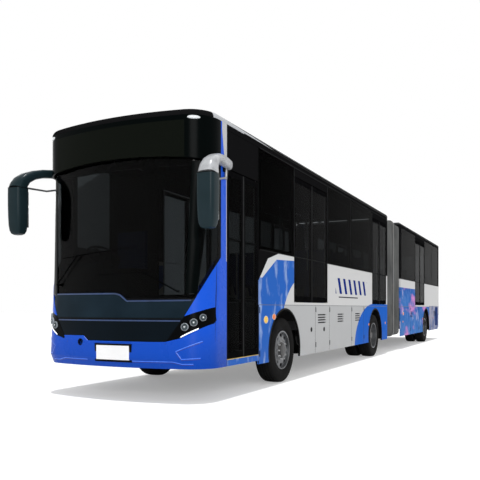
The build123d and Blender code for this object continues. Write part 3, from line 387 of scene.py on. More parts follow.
def disc_with_holes(stock, profile, centre, side):
    """The wheel's disc, open at its hand holes."""
    open_faces = []
    for face in stock.turned(profile, centre, side, rim_steel):
        offset = face.calc_center_median() - Vector(centre)
        r = sqrt(offset.x ** 2 + offset.z ** 2)
        sector = (atan2(offset.z, offset.x) / (2 * pi) * HAND_HOLES) % 1.0
        if HAND_HOLE_RADII[0] < r < HAND_HOLE_RADII[1] and HAND_HOLE_SHARE[0] < sector < HAND_HOLE_SHARE[1]:
            open_faces.append(face)
    bmesh.ops.delete(stock.mesh, geom=open_faces, context="FACES")


nut_shape = Stock("nut")
nut_shape.turned(NUT, (0.0, 0.0, 0.0), 1, nut_steel, 6)
bmesh.ops.recalc_face_normals(nut_shape.mesh, faces=nut_shape.mesh.faces)
nut_mesh = bpy.data.meshes.new("nut")
nut_shape.mesh.to_mesh(nut_mesh)
nut_shape.mesh.free()
nut_mesh.materials.append(nut_steel)

for axle, station in AXLES.items():
    disc, hub, nut_seat = WHEEL_KINDS["front" if axle == "front" else "twin"]
    for side_name, side in SIDES:
        centre = (at(station), side * WHEEL_Y, WHEEL_R)
        body = f"wheel_{axle}_{side_name}"
        wheel = Stock(f"{body}_tyre_and_disc")
        wheel.turned(TYRE_SECTION, centre, side, tyre_rubber)
        disc_with_holes(wheel, disc, centre, side)
        wheel.turned(hub, centre, side, hub_black, HUB_SIDES)
        if axle != "front":
            inner = (centre[0], centre[1] - side * TWIN_PITCH, centre[2])
            wheel.turned(TYRE_SECTION, inner, side, tyre_rubber)
            wheel.turned(INNER_BARREL, inner, side, rim_steel)
        wheel.make(body, replaces=(body,), slot="tyre")
        nuts = bpy.data.objects.new(f"{body}_nuts", nut_mesh.copy())
        bpy.context.collection.objects.link(nuts)
        ring_of(nuts, NUTS, NUT_RING_R)
        flip = Matrix.Diagonal((1.0, side, 1.0, 1.0))
        nuts.data.transform(Matrix.Translation((centre[0], centre[1] + side * nut_seat, centre[2])) @ flip)
        if side < 0:
            nuts.data.flip_normals()
        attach(nuts, body)

# -------------------- painted sides
# Steel panels on a welded frame, sprayed white above the belt and silver on the hinged flaps
# below it, with blue fields and a soft sky print. Round the glass the sides are gloss black.
WAIST_TOP = 1.930
BELT = 1.173
SKY_BLUE = (40, 98, 192)
DEEP_BLUE = (24, 44, 120)
PANEL_WHITE = (204, 204, 204)
FLAP_SILVER = (182, 183, 184)
GLOSS_BLACK = (20, 20, 21)
EDGE_SILVER = (206, 207, 208)
DUST = (150, 146, 140)
# ovals and boxes of print: station, height and half sizes, or two stations and two heights
NOSE_PRINT_END = 3.05
ARCH_OVAL = (3.42, 0.60, 0.98, 1.02)
SWELL_OVAL = (8.02, 0.30, 1.56, 0.92)
SWELL_TOP = 1.215
WEDGE = (1.60, 3.05, 1.55, 1.95)
WEDGE_LINES = ((1.79, 1.555, 2.29, 1.835), (2.29, 1.835, 3.05, 1.868))
SHOULDER_END = 2.40
SHOULDER_LINES = ((1.80, 1.650, 1.98, 1.830), (1.98, 1.830, 2.38, 1.932))
BARS = (5.15, 7.45, 1.40, 1.70)
BAR_PITCH, BAR_SHARE, BAR_LEAN = 0.36, 0.42, 0.5
UNDERLINE = (5.35, 6.70, 1.325, 1.348)
REAR_PRINT = (11.0, 13.25, 1.16, 1.70)
MOTTLED_END = (15.76, 18.1, 0.3, 1.2)
ENGINE_DOOR = (17.05, 17.66, 0.50, 1.16)


class Livery(Finish):
    """Paint that changes along the bus: fields are 1 inside a shape and 0 outside it."""

    def __init__(self, name, rough=0.3):
        super().__init__(name, PANEL_WHITE, rough, gloss=0.0)
        x, _, self.z = self.axes()
        self.s = self.maths("SUBTRACT", NOSE_X, x)
        self.paint = PANEL_WHITE

    def over(self, value, edge):
        return self.maths("GREATER_THAN", value, edge)

    def under(self, value, edge):
        return self.maths("LESS_THAN", value, edge)

    def both(self, a, b):
        return self.maths("MULTIPLY", a, b)

    def either(self, a, b):
        return self.maths("MAXIMUM", a, b)

    def outside(self, a):
        return self.maths("SUBTRACT", 1.0, a)

    def band(self, value, low, high):
        return self.both(self.over(value, low), self.under(value, high))

    def box(self, s0, s1, z0, z1):
        return self.both(self.band(self.s, s0, s1), self.band(self.z, z0, z1))

    def oval(self, s0, z0, half_s, half_z):
        ds = self.maths("DIVIDE", self.maths("SUBTRACT", self.s, s0), half_s)
        dz = self.maths("DIVIDE", self.maths("SUBTRACT", self.z, z0), half_z)
        return self.under(self.maths("ADD", self.both(ds, ds), self.both(dz, dz)), 1.0)

    def above_line(self, s0, z0, s1, z1):
        slope = (z1 - z0) / (s1 - s0)
        return self.over(self.z, self.maths("ADD", self.both(self.s, slope), z0 - slope * s0))

    def lay(self, field, colour):
        self.paint = self.mix(field, self.paint, colour)

    def sky(self, low, high):
        """Blue field with drifting pink and pale cloud."""
        cloud = self.noise(1.0, 4.0, (0.9, 0.0, 2.2))
        streak = self.noise(2.2, 5.0, (1.6, 0.0, 0.8))
        tone = self.mix(self.between(self.z, low, high), (66, 118, 186), (46, 92, 168))
        tone = self.mix(self.between(self.noise(4.5, 3.0), 0.45, 0.75, 0.0, 0.5), tone, (112, 148, 206))
        pink = self.mix(self.between(cloud, 0.52, 0.66), tone, (206, 138, 196))
        return self.mix(self.between(streak, 0.60, 0.72), pink, (222, 208, 228))

    def done(self, dust_share=0.10):
        """Road dust low down, patchy gloss and a slightly wavy sprayed surface."""
        patches = self.between(self.noise(3.0), 0.35, 0.8, 0.0, dust_share)
        dust = self.both(self.between(self.z, 1.2, 0.35), patches)
        self.colour(self.mix(dust, self.paint, DUST))
        self.rough(self.between(self.noise(5.0), 0.3, 0.7, 0.22, 0.36))
        self.relief(self.noise(1.3, 2.0), 0.12, 0.004)
        return self.material


front = Livery("front_sides")
front.lay(front.under(front.z, BELT), FLAP_SILVER)
nose_print = front.both(front.under(front.s, NOSE_PRINT_END), front.outside(front.oval(*ARCH_OVAL)))
streaks = front.between(front.noise(2.6, 4.0, (2.0, 0.0, 0.9)), 0.52, 0.68)
front.lay(nose_print, front.mix(streaks, (48, 100, 186), (150, 172, 216)))
swell = front.either(front.oval(*SWELL_OVAL), front.over(front.s, SWELL_OVAL[0]))
front.lay(front.both(swell, front.under(front.z, SWELL_TOP)), SKY_BLUE)
# stepped wedge beside the first window: a silver edge with the black of the glass above it
wedge = front.either(*[front.above_line(*line) for line in WEDGE_LINES])
front.lay(front.both(wedge, front.box(*WEDGE)), EDGE_SILVER)
lean = front.maths("ADD", front.s, front.both(front.z, BAR_LEAN))
bar_step = front.maths("FRACT", front.maths("DIVIDE", lean, BAR_PITCH))
front.lay(front.both(front.box(*BARS), front.under(bar_step, BAR_SHARE)), DEEP_BLUE)
front.lay(front.box(*UNDERLINE), (60, 62, 70))
shoulder = front.either(*[front.above_line(*line) for line in SHOULDER_LINES])
shoulder = front.both(front.under(front.s, SHOULDER_END), shoulder)
front.lay(front.either(front.over(front.z, WAIST_TOP), shoulder), GLOSS_BLACK)
coat(front.done(), "wall_front_left", "wall_front_right", "skirts_front")

rear = Livery("rear_sides")
rear.lay(rear.box(*REAR_PRINT), rear.sky(1.2, 1.7))
rear.lay(rear.under(rear.z, BELT), rear.sky(0.4, 1.9))
mottle = rear.between(rear.noise(3.0, 4.0), 0.42, 0.62)
rear.lay(rear.box(*MOTTLED_END), rear.mix(mottle, (158, 158, 176), (104, 118, 158)))
rear.lay(rear.box(*ENGINE_DOOR), (44, 62, 112))
rear.lay(rear.over(rear.z, WAIST_TOP), GLOSS_BLACK)
coat(rear.done(), "wall_rear_left", "wall_rear_right", "skirts_rear", "rear_mask")

# -------------------- nose
# Moulded mask in gloss blue on a black frame, with a silver strip down the pillar beside the step
# door and a black flap under the screen. The plate is a blank white sheet in a black frame.
NOSE_R, CORNER_R, HALF_WIDTH = 4.2, 0.38, 1.25
SWING = sqrt(1 - ((HALF_WIDTH - CORNER_R) / (NOSE_R - CORNER_R)) ** 2)
CORNER_X = NOSE_X - NOSE_R + (NOSE_R - CORNER_R) * SWING
# height, set-back of the nose at that height
SET_BACKS = ((0.403, 0.055), (0.520, 0.0), (0.722, 0.012), (1.236, 0.045), (1.759, 0.060), (2.868, 0.092),
             (2.869, 0.030), (3.400, 0.030))


def nose_x(y, z, proud=0.0):
    """X of the nose's outer face."""
    reach = abs(y)
    if reach <= NOSE_R * (HALF_WIDTH - CORNER_R) / (NOSE_R - CORNER_R):
        x = NOSE_X - NOSE_R + sqrt(NOSE_R ** 2 - reach ** 2)
    else:
        x = CORNER_X + sqrt(max(0.0, CORNER_R ** 2 - (reach - HALF_WIDTH + CORNER_R) ** 2))
    for (z0, b0), (z1, b1) in zip(SET_BACKS, SET_BACKS[1:]):
        if z0 <= z <= z1:
            return x - b0 - (b1 - b0) * (z - z0) / (z1 - z0) + proud
    return x - (SET_BACKS[0][1] if z < 1 else SET_BACKS[-1][1]) + proud


def along(line, t):
    """Point at share t of a line of points."""
    spot = t * (len(line) - 1)
    i = min(int(spot), len(line) - 2)
    return [a + (b - a) * (spot - i) for a, b in zip(line[i], line[i + 1])]


def nose_patch(stock, corners, thick, proud, material, steps=24):
    """Thin patch laid on the nose between a lower and an upper line of (y, z) points."""
    lower, upper = corners
    rings = []
    for k in range(steps + 1):
        (ya, za), (yb, zb) = along(lower, k / steps), along(upper, k / steps)
        outer = [(nose_x(ya, za, proud), ya, za), (nose_x(yb, zb, proud), yb, zb)]
        inner = [(nose_x(yb, zb, proud - thick), yb, zb), (nose_x(ya, za, proud - thick), ya, za)]
        rings.append(outer + inner)
    stock.solid(rings, material)


def nose_sheet(stock, y_span, z_span, thick, proud, material, steps):
    """Patch of the nose between two widths and two heights."""
    nose_patch(stock, [[(y, z) for y in y_span] for z in z_span], thick, proud, material, steps)


def nose_bead(stock, points, radius, material, sink=0.0):
    """Raised round bead along (y, z) points, half sunk in the nose."""
    count = 5 * (len(points) - 1)
    spots = [along(points, k / count) for k in range(count + 1)]
    stock.tube([(nose_x(y, z, -sink), y, z) for y, z in spots], radius, material, 8)


RING_SIDES = 32
X_WAY, Y_WAY, Z_WAY = (1, 0, 0), (0, 1, 0), (0, 0, 1)


def swept(centre, across, over, outwards, profile):
    """Rings of a (radius, distance out) profile, turned about a centre."""
    return [[[c + (u * cos(a) + v * sin(a)) * r + w * d for c, u, v, w in zip(centre, across, over, outwards)]
             for r, d in profile] for a in turns(RING_SIDES)]


PILLAR_EDGE, PILLAR_LINE = 0.693, 0.706
PILLAR_FOOT, PILLAR_LINE_TOP = 1.70, 2.78
FRAME_FOOT, FRAME_REACH = 0.70, 1.243
BEND_START, BEND_DROP = 0.956, 2.5

mask = Livery("mask_paint")
mask.give("Specular IOR Level", 0.10)
# painted shade: the blue turns darker towards the bottom of the mask
mask.paint = mask.mix(mask.between(mask.z, 1.00, 0.44), (22, 84, 208), (8, 66, 168))
strip = mask.maths("SUBTRACT", PILLAR_EDGE, mask.between(mask.z, 2.70, 3.3, 0.0, 0.105))
mask.lay(mask.both(mask.over(mask.s, strip), mask.over(mask.z, PILLAR_FOOT)), (186, 186, 188))
mask.lay(mask.both(mask.under(mask.z, PILLAR_LINE_TOP), mask.over(mask.s, PILLAR_LINE)), (14, 14, 15))
# whatever lies behind the outer skin is the black frame
y = mask.axes()[1]
reach = mask.maths("ABSOLUTE", y)
past = mask.maths("MAXIMUM", mask.maths("SUBTRACT", reach, BEND_START), 0.0)
arc_drop = mask.both(mask.both(y, y), 0.5 / NOSE_R)
drop = mask.maths("ADD", arc_drop, mask.both(mask.both(past, past), BEND_DROP))
depth = mask.maths("SUBTRACT", mask.s, drop)
behind = mask.both(mask.over(depth, mask.between(mask.z, 0.72, 1.76, 0.030, 0.078)),
                   mask.under(reach, FRAME_REACH))
mask.lay(mask.both(behind, mask.over(mask.z, FRAME_FOOT)), (9, 9, 10))
mask_blue = mask.done(0.02)
coat(mask_blue, "front_mask")

flap_gloss = Finish("flap_gloss", (9, 20, 28), 0.16, gloss=0.05)
flap_z = flap_gloss.axes()[2]
# painted reflections: the flap is darker below its fold and lighter above it, each part cloudy in tone
flap_lower_painted_reflections = flap_gloss.mix(flap_gloss.noise(1.4, 3.0), (3, 10, 16), (8, 20, 29))
flap_upper_painted_reflection = flap_gloss.mix(flap_gloss.noise(1.9, 3.0), (4, 16, 23), (28, 44, 55))
flap_gloss.colour(flap_gloss.mix(flap_gloss.between(flap_z, 0.99, 1.02), flap_lower_painted_reflections, flap_upper_painted_reflection))
flap_gloss.relief(flap_gloss.noise(1.1, 2.0), 0.15, 0.006)
header_gloss = Finish("header_gloss", (5, 6, 7), 0.22, gloss=0.02)
header_z = header_gloss.axes()[2]
display_y = header_gloss.maths("ABSOLUTE", header_gloss.axes()[1])
window = header_gloss.maths("MULTIPLY", header_gloss.maths("LESS_THAN", display_y, 0.98),
                            header_gloss.between(header_z, 3.335, 3.345, 1.0, 0.0))
header_gloss.colour(header_gloss.mix(window, (2, 5, 5), (13, 16, 12)))
header_gloss.relief(header_gloss.noise(0.9, 2.0), 0.12, 0.006)
coat(flap_gloss.material, "bonnet_panel")
coat(header_gloss.material, "display_panel")
plate_white = dusty("plate_white", (246, 246, 246), (236, 236, 236), 0.4, 30.0, 0.0003)
trim_black = dusty("trim_black", (11, 11, 12), (20, 20, 20), 0.45, 220.0, 0.0004, gloss=0.03)
seam_dark = dusty("seam_dark", (8, 24, 84), (12, 28, 90), 0.5, 120.0, 0.0003)
# painted highlight along the flap's lip and its fold
flap_lip_highlight = dusty("flap_lip_highlight", (38, 64, 110), (28, 48, 84), 0.3, 120.0, 0.0003)
# painted highlight and painted shade for the bumper's creases
crease_highlight = dusty("crease_highlight", (74, 128, 238), (54, 110, 226), 0.3, 120.0, 0.0003)
crease_shade = dusty("crease_shade", (10, 42, 150), (8, 36, 130), 0.4, 120.0, 0.0003)

# widths, heights, height above the skin, finish and steps: the plate in its frame, then the two
# bands along the fold across the flap, a painted highlight below and black above
SHEET_T = 0.02
NOSE_SHEETS = (((-0.232, 0.319), (0.469, 0.692), 0.012, trim_black, 6),
               ((-0.200, 0.287), (0.497, 0.670), 0.0145, plate_white, 6),
               ((-0.93, 0.93), (0.966, 0.982), -0.0030, flap_lip_highlight, 40),
               ((-0.94, 0.94), (0.990, 1.004), -0.0045, trim_black, 40))
# lower edge of the screen, as (y, z): level, with a step down towards the door side
SCREEN_STEP = ((-1.04, 1.306), (-0.62, 1.304), (0.047, 1.302), (0.120, 1.285), (0.220, 1.211), (0.60, 1.213),
               (1.045, 1.217))
SCREEN_FOOT = 1.212
SCREEN_SILL = ((0.222, SCREEN_FOOT), (0.60, 1.215), (1.04, 1.219))
SCREEN_SILL_TOP = 1.242
PRINT_T, PRINT_PROUD = 0.012, -0.004
# lip along the bumper's upper edge, raised over the towing hole
BUMPER_LIP = ((-0.790, 0.770), (-0.435, 0.773), (-0.353, 0.711), (0.0, 0.712), (0.587, 0.713), (0.757, 0.716),
              (0.940, 0.760), (1.127, 0.860))
TOW_Y, TOW_Z, TOW_CUT_R = -0.480, 0.700, 0.044
TOW_RIM = ((0.0360, -0.030), (0.0360, 0.002), (0.0405, 0.005), (0.045, 0.002), (0.045, -0.030))
# pressed creases: a fold along the bumper, and one shaped like an arrow head in each corner. Each is
# a bead painted as highlight, with a bead painted as shade a step below it
CREASES = (((-1.02, 0.460), (-0.901, 0.461), (-0.777, 0.488), (-0.362, 0.488)),
           ((0.319, 0.488), (0.844, 0.492), (0.957, 0.466), (1.078, 0.467)),
           ((1.165, 0.735), (0.889, 0.614), (0.962, 0.524), (1.152, 0.536)),
           ((-1.165, 0.740), (-0.974, 0.635), (-1.035, 0.532), (-1.152, 0.536)))
CREASE_R = 0.007
CREASE_STEP = 0.012
BUMPER_JOINTS = (-0.730, 0.757)
JOINT_HALF = 0.0035
# marker lamps on the header: y, height, half width, half height, and the lens's rings
MARKER_Y, MARKER_Z, MARKER_HALF_Y, MARKER_HALF_Z = 1.078, 3.368, 0.064, 0.021
MARKER_RINGS = ((-0.010, 1.0), (0.004, 1.0), (0.010, 0.9), (0.014, 0.6))

nose_trim = Stock("nose_trim")
for y_span, z_span, proud, finish, steps in NOSE_SHEETS:
    nose_sheet(nose_trim, y_span, z_span, SHEET_T, proud, finish, steps)
step_edge = SCREEN_STEP[:5]
nose_patch(nose_trim, ([(y, SCREEN_FOOT) for y, _ in step_edge], step_edge), PRINT_T, PRINT_PROUD,
           flap_gloss.material, 40)
sill_top = [(y, SCREEN_SILL_TOP) for y, _ in SCREEN_SILL]
nose_patch(nose_trim, (SCREEN_SILL, sill_top), PRINT_T, PRINT_PROUD, trim_black)
# the flap's lip along the screen, a bead coloured as painted highlight
nose_bead(nose_trim, SCREEN_STEP, 0.011, flap_lip_highlight, 0.010)
# black printed border of the screen in each corner
for side in (1, -1):
    border = (((side * 0.985, 1.300), (side * 1.105, 1.300)), ((side * 1.035, 2.862), (side * 1.225, 2.862)))
    nose_patch(nose_trim, border, 0.008, 0.0, header_gloss.material, 10)
tow_cut = [(TOW_Y - TOW_CUT_R * cos(radians(a)), TOW_Z + TOW_CUT_R * sin(radians(a)))
           for a in (20, 45, 65, 90, 115, 135, 160)]
step_low = [(-0.790, 0.715), (-0.650, 0.715), (-0.530, 0.715)] + tow_cut + [(-0.425, 0.714), (-0.353, 0.704)]
step_top = [(-0.780, 0.775), (-0.650, 0.776), (-0.530, 0.776)] + [(y, 0.776) for y, _ in tow_cut]
step_top += [(-0.421, 0.764), (-0.353, 0.708)]
nose_patch(nose_trim, (step_low, step_top), 0.03, 0.004, mask_blue, 44)
tow_spot = (nose_x(TOW_Y, TOW_Z), TOW_Y, TOW_Z)
nose_trim.solid(swept(tow_spot, Y_WAY, Z_WAY, X_WAY, TOW_RIM), trim_black, caps=False)
nose_bead(nose_trim, BUMPER_LIP, 0.009, mask_blue, 0.004)
for crease in CREASES:
    nose_bead(nose_trim, crease, CREASE_R, crease_highlight, 0.004)
    nose_bead(nose_trim, [(y, z - CREASE_STEP) for y, z in crease], CREASE_R, crease_shade, 0.0045)
for y in BUMPER_JOINTS:
    nose_sheet(nose_trim, (y - JOINT_HALF, y + JOINT_HALF), (0.410, 0.705), 0.01, 0.0020, seam_dark, 2)
lens_clear = dusty("lens_clear", (226, 230, 232), (196, 200, 204), 0.12, 90.0, 0.0003, gloss=0.6)
for side in (1, -1):
    rings = []
    for out, share in MARKER_RINGS:
        spots = [(side * MARKER_Y + MARKER_HALF_Y * share * cos(a), MARKER_Z + MARKER_HALF_Z * share * sin(a))
                 for a in turns(24)[:-1]]
        rings.append([(nose_x(y, z, out), y, z) for y, z in spots])
    nose_trim.solid(rings, lens_clear)
# dark hood beside the left-hand marker lamp
nose_trim.box((at(0.330), 0.880, 3.385), (at(0.240), 0.985, 3.418), trim_black, 0.008)
nose_trim.make("front_section", slot="black_gloss")

# -------------------- headlamps
# Black housings under a clear lens. Each holds three projectors and a white light bar along its
# lower edge, and is pressed into the mask from behind.
lamp_black = Finish("lamp_black", (4, 5, 6), 0.2, gloss=0.03)
lamp_black.relief(lamp_black.noise(30.0), 0.1, 0.001)
projector_glass = dusty("projector_glass", (40, 50, 54), (84, 96, 100), 0.12, 60.0, 0.0002, gloss=0.3)
ring_silver = dusty("ring_silver", (150, 156, 162), (108, 114, 120), 0.3, 120.0, 0.0002, gloss=0.3)
light_bar = Finish("light_bar", (250, 250, 250), 0.3)
light_bar.relief(light_bar.noise(90.0), 0.1, 0.0002)
light_bar.give("Emission Color", (255, 255, 255))
light_bar.give("Emission Strength", 0.75)
coat(lamp_black.material, "headlamps")
# y, z, radius of each projector and the way it faces
PROJECTORS = ((0.989, 0.904, 0.046, 0.22), (1.082, 0.957, 0.046, 0.55), (1.163, 1.014, 0.043, 1.10))
LIGHT_BAR = ((0.946, 0.785), (1.129, 0.884))
LIGHT_BAR_EDGES = ((-0.007, -0.008), (0.006, 0.006))
# lens profiles: share of the radius, distance out
LENS_RING = ((0.0, -0.02), (1.0, -0.02), (1.0, 0.012), (0.90, 0.020), (0.78, 0.013), (0.74, 0.004),
             (0.0, 0.004))
LENS_DOME = ((0.76, 0.003), (0.64, 0.012), (0.40, 0.018), (0.15, 0.021), (0.0, 0.0215))
# a bright cap in each projector's middle: a painted highlight
LENS_PAINTED_GLINT = ((0.26, 0.018), (0.16, 0.0225), (0.0, 0.0235))
LENSES = ((LENS_RING, ring_silver), (LENS_DOME, projector_glass), (LENS_PAINTED_GLINT, lens_clear))
for side_name, side in SIDES:
    lamp = Stock(f"headlamp_optics_{side_name}")
    for y, z, r, turn in PROJECTORS:
        centre = (nose_x(y, z), side * y, z)
        facing = Vector((1.0, side * turn, 0.04)).normalized()
        across = facing.orthogonal().normalized()
        over = facing.cross(across)
        for profile, finish in LENSES:
            rings = swept(centre, across * r, over * r, facing, profile)
            lamp.solid(rings, finish, closed=False, caps=False)
    strip = [[(side * y, z + rise) for (y, z), rise in zip(LIGHT_BAR, rises)] for rises in LIGHT_BAR_EDGES]
    nose_patch(lamp, strip, 0.012, 0.004, light_bar.material, 8)
    lamp.make("front_section", slot="lamp_lens")

# -------------------- glass
# Dark tinted panes, bonded to the black frames all round, with rubber seams between them. The
# screen is clearer, so that the dashboard and the driver's place show through it.
SIDE_Y = 1.25
GLASS_Z = (1.932, 3.333)
SEAM_HALF = 0.011
RAIL_Z = (3.395, 3.408)
# stations of the seams between panes, of the glass's ends and of the drip rail's front end
WINDOWS = {"front_section": ((3.003, 4.678, 6.170, 7.906), (1.70, 9.42), 1.20),
           "rear_section": ((13.168, 14.850, 16.250), (11.05, 17.60), 11.05)}


def tinted(name, colour, gloss, bend, wave, depth):
    """Dark see-through glass, its surface faintly wavy."""
    pane = Finish(name, colour, 0.03, gloss=gloss)
    pane.give("Transmission Weight", 1.0)
    pane.give("IOR", bend)
    pane.relief(pane.noise(wave, 2.0), depth, 0.004)
    return pane.material


def wall_bar(stock, side, stations, depths, heights, finish, bevel=0.0):
    """Bar on a side wall: two stations, two distances out from the wall's plane, two heights."""
    low, high = [(at(s), side * (SIDE_Y + out), z) for s, out, z in zip(stations, depths, heights)]
    stock.box(low, high, finish, bevel)


coat(tinted("side_tint", (72, 75, 76), 0.5, 1.02, 0.8, 0.06), "side_glass_front", "side_glass_rear")
coat(tinted("screen_tint", (98, 102, 104), 0.1, 1.12, 0.7, 0.05), "windscreen")
seam_grey = dusty("seam_grey", (34, 35, 36), (44, 44, 44), 0.5, 120.0, 0.0004, gloss=0.0)
for body, (seams, ends, rail_start) in WINDOWS.items():
    rubber = Stock(f"window_rubber_{body}")
    for side in (1, -1):
        for s in seams:
            wall_bar(rubber, side, (s - SEAM_HALF, s + SEAM_HALF), (-0.006, 0.002), GLASS_Z, seam_grey)
        for z, half in ((1.934, 0.006), (3.338, 0.007)):
            wall_bar(rubber, side, ends, (-0.006, 0.003), (z - half, z + half), seam_grey)
        wall_bar(rubber, side, (rail_start, ends[1]), (-0.004, 0.008), RAIL_Z, trim_black, 0.002)
    rubber.make(body, slot="trim_black")

# -------------------- doors
# Each leaf is a black aluminium frame with one dark pane bonded in it, soft rubber on its free
# edge and a grab bar inside. It swings on a steel shaft that stands in the doorway's jamb.
door_black = dusty("door_black", (9, 9, 10), (17, 17, 18), 0.32, 160.0, 0.0004, gloss=0.0)
door_glass = tinted("door_glass", (104, 108, 110), 0.5, 1.03, 0.9, 0.05)
door_rubber = dusty("door_rubber", (50, 51, 52), (62, 62, 62), 0.7, 200.0, 0.0005, gloss=0.0)
bar_grey = dusty("bar_grey", (40, 41, 42), (52, 52, 52), 0.4, 160.0, 0.0003)
shaft_steel = dusty("shaft_steel", (150, 152, 154), (100, 100, 100), 0.35, 160.0, 0.0003, metal=0.8)
STEP_RAILS = (0.670, 1.220, 1.990)
STILE = 0.052
STILE_LAP = 0.004
FOOT_GAP, HEAD_GAP = 0.0115, 0.0055
FOOT_RAIL, HEAD_RAIL = 0.085, 0.075
RAIL_HALF = 0.018
FRAME_BEVEL = 0.004
LEAF_DEPTHS = (-0.0025, -0.0415)
RAIL_DEPTHS = (-0.016, -0.0415)
PANE_DEPTHS = (-0.006, -0.012)
PANE_LAP = 0.01
SEAL_DEPTHS, SEAL_WIDTH = (-0.0018, -0.040), 0.014
SHAFT_Y, SHAFT_R, SHAFT_SET = 1.205, 0.0155, 0.030
GRIP_Y, GRIP_R, GRIP_SET = 1.2, 0.010, 0.10
GRIP_FOOT = (0.06, 1.2125, 0.007)
# doorway: first station, last station, sill, top
DOORWAYS = {"step": (0.717, 1.662, 0.480, 2.850), "platform_1": (2.997, 4.681, 1.215, 3.195),
            "platform_2": (7.912, 9.328, 1.215, 3.195), "platform_3": (13.174, 14.846, 1.215, 3.195)}


def door_leaf(node, hinge, free, sill, top, side, rails):
    """One glazed leaf between its hinge and free stations."""
    leaf = Stock(f"{node}_leaf")
    near, far = min(hinge, free), max(hinge, free)
    low, high = sill + FOOT_GAP, top - HEAD_GAP
    between_stiles = (near + STILE - STILE_LAP, far - STILE + STILE_LAP)
    for s in (near, far - STILE):
        wall_bar(leaf, side, (s, s + STILE), LEAF_DEPTHS, (low, high), door_black, FRAME_BEVEL)
    for heights in ((low, low + FOOT_RAIL), (high - HEAD_RAIL, high)):
        wall_bar(leaf, side, between_stiles, LEAF_DEPTHS, heights, door_black, FRAME_BEVEL)
    for z in rails:
        heights = (z - RAIL_HALF, z + RAIL_HALF)
        wall_bar(leaf, side, between_stiles, RAIL_DEPTHS, heights, bar_grey, 0.005)
    wall_bar(leaf, side, (near + STILE - PANE_LAP, far - STILE + PANE_LAP), PANE_DEPTHS,
             (low + FOOT_RAIL - PANE_LAP, high - HEAD_RAIL + PANE_LAP), door_glass)
    edge = free - (0.004 if free < hinge else 0.010)
    wall_bar(leaf, side, (edge, edge + SEAL_WIDTH), SEAL_DEPTHS, (low, high), door_rubber, 0.003)
    way = 1 if free > hinge else -1
    shaft = [(at(hinge + way * SHAFT_SET), side * SHAFT_Y, z) for z in (sill + 0.001, top + 0.009)]
    leaf.tube(shaft, SHAFT_R, shaft_steel, 20)
    grip = free - way * GRIP_SET
    leaf.tube([(at(grip), side * GRIP_Y, z) for z in (sill + 0.55, sill + 1.35)], GRIP_R, shaft_steel, 14)
    run, foot_y, foot_r = GRIP_FOOT
    for z in (sill + 0.56, sill + 1.34):
        foot = ((at(grip), side * GRIP_Y, z), (at(grip - way * run), side * foot_y, z))
        leaf.tube(foot, foot_r, shaft_steel, 10)
    leaf.make(node, replaces=(node,), slot="trim_black")


for doorway, (s0, s1, sill, top) in DOORWAYS.items():
    middle = (s0 + s1) / 2
    for side_name, side in SIDES:
        if doorway == "step" and side < 0:
            continue
        rails = STEP_RAILS if doorway == "step" else ()
        door_leaf(f"door_{doorway}_{side_name}_a", s0 + 0.008, middle - 0.004, sill, top, side, rails)
        door_leaf(f"door_{doorway}_{side_name}_b", s1 - 0.008, middle + 0.004, sill, top, side, rails)

# -------------------- mirrors
# Each mirror hangs from a moulded horn that sweeps forward off the pillar. The left horn is
# silver and both heads are dark gloss shells in two halves, open behind to the glass.
MIRROR_Y = 1.428
HEAD_STATION = -0.080
RIGHT_LIFT = 0.080
horn_silver = dusty("horn_silver", (176, 178, 181), (140, 142, 145), 0.28, 160.0, 0.0003, gloss=0.4)
mirror_shell = Finish("mirror_shell", (18, 30, 36), 0.25, gloss=0.08)
shell_tone = mirror_shell.noise(2.5, 3.0)
mirror_shell.colour(mirror_shell.mix(shell_tone, (14, 30, 32), (36, 50, 56)))
mirror_shell.relief(mirror_shell.noise(60.0), 0.05, 0.0004)
mirror_glass = dusty("mirror_glass", (190, 194, 197), (160, 164, 168), 0.04, 60.0, 0.0001, metal=1.0)
# the horn's path: station, y, height, half width across, half depth
HORN_PATH = ((0.715, 1.272, 2.890, 0.052, 0.062), (0.580, 1.295, 2.898, 0.054, 0.060),
             (0.420, 1.324, 2.890, 0.060, 0.058), (0.270, 1.352, 2.866, 0.070, 0.058),
             (0.130, 1.382, 2.824, 0.082, 0.062), (0.020, 1.405, 2.766, 0.094, 0.072),
             (-0.045, 1.420, 2.700, 0.103, 0.088), (-0.070, 1.428, 2.645, 0.108, 0.100),
             (-0.080, 1.430, 2.610, 0.109, 0.104))
HORN_EGG, HEAD_EGG = (28, 0.72), (36, 0.5)
# height, half width and half depth of the head from its top down, and of the dark seam under the horn
HEAD_RINGS = ((2.618, 0.109, 0.104), (2.540, 0.110, 0.106), (2.400, 0.1095, 0.106), (2.250, 0.107, 0.103),
              (2.130, 0.102, 0.097), (2.060, 0.093, 0.086), (2.020, 0.076, 0.066), (2.005, 0.046, 0.040))
HEAD_SEAM = ((2.612, 0.1105, 0.1055), (2.620, 0.1105, 0.1055))
# heights of the two panes that look back
PANES = ((2.110, 2.370), (2.400, 2.580))
PANE_STATIONS = (0.0285, 0.018)
PANE_HALF = 0.080
FOOT_PLATE = ((0.712, 1.2503, 2.790), (0.600, 1.275, 2.890))
# post and stays as two (station, y, height) ends and a radius
STAYS = (((0.655, 1.272, 2.860), (0.640, 1.272, 2.700), 0.018),
         ((0.640, 1.272, 2.720), (0.330, 1.325, 2.640), 0.013),
         ((0.330, 1.325, 2.640), (0.040, 1.400, 2.640), 0.013))


def egg(centre, across, over, half_across, half_over, count, power):
    """Squarish oval of points round a centre."""
    ring = []
    for k in range(count):
        c, s = cos(2 * pi * k / count), sin(2 * pi * k / count)
        u = half_across * abs(c) ** power * (1 if c >= 0 else -1)
        v = half_over * abs(s) ** power * (1 if s >= 0 else -1)
        ring.append(centre + across * u + over * v)
    return ring


def mirror_spot(side, s, y, z):
    """Point of a mirror; the right-hand one hangs higher."""
    return Vector((at(s), side * y, z + (0.0 if side > 0 else RIGHT_LIFT)))


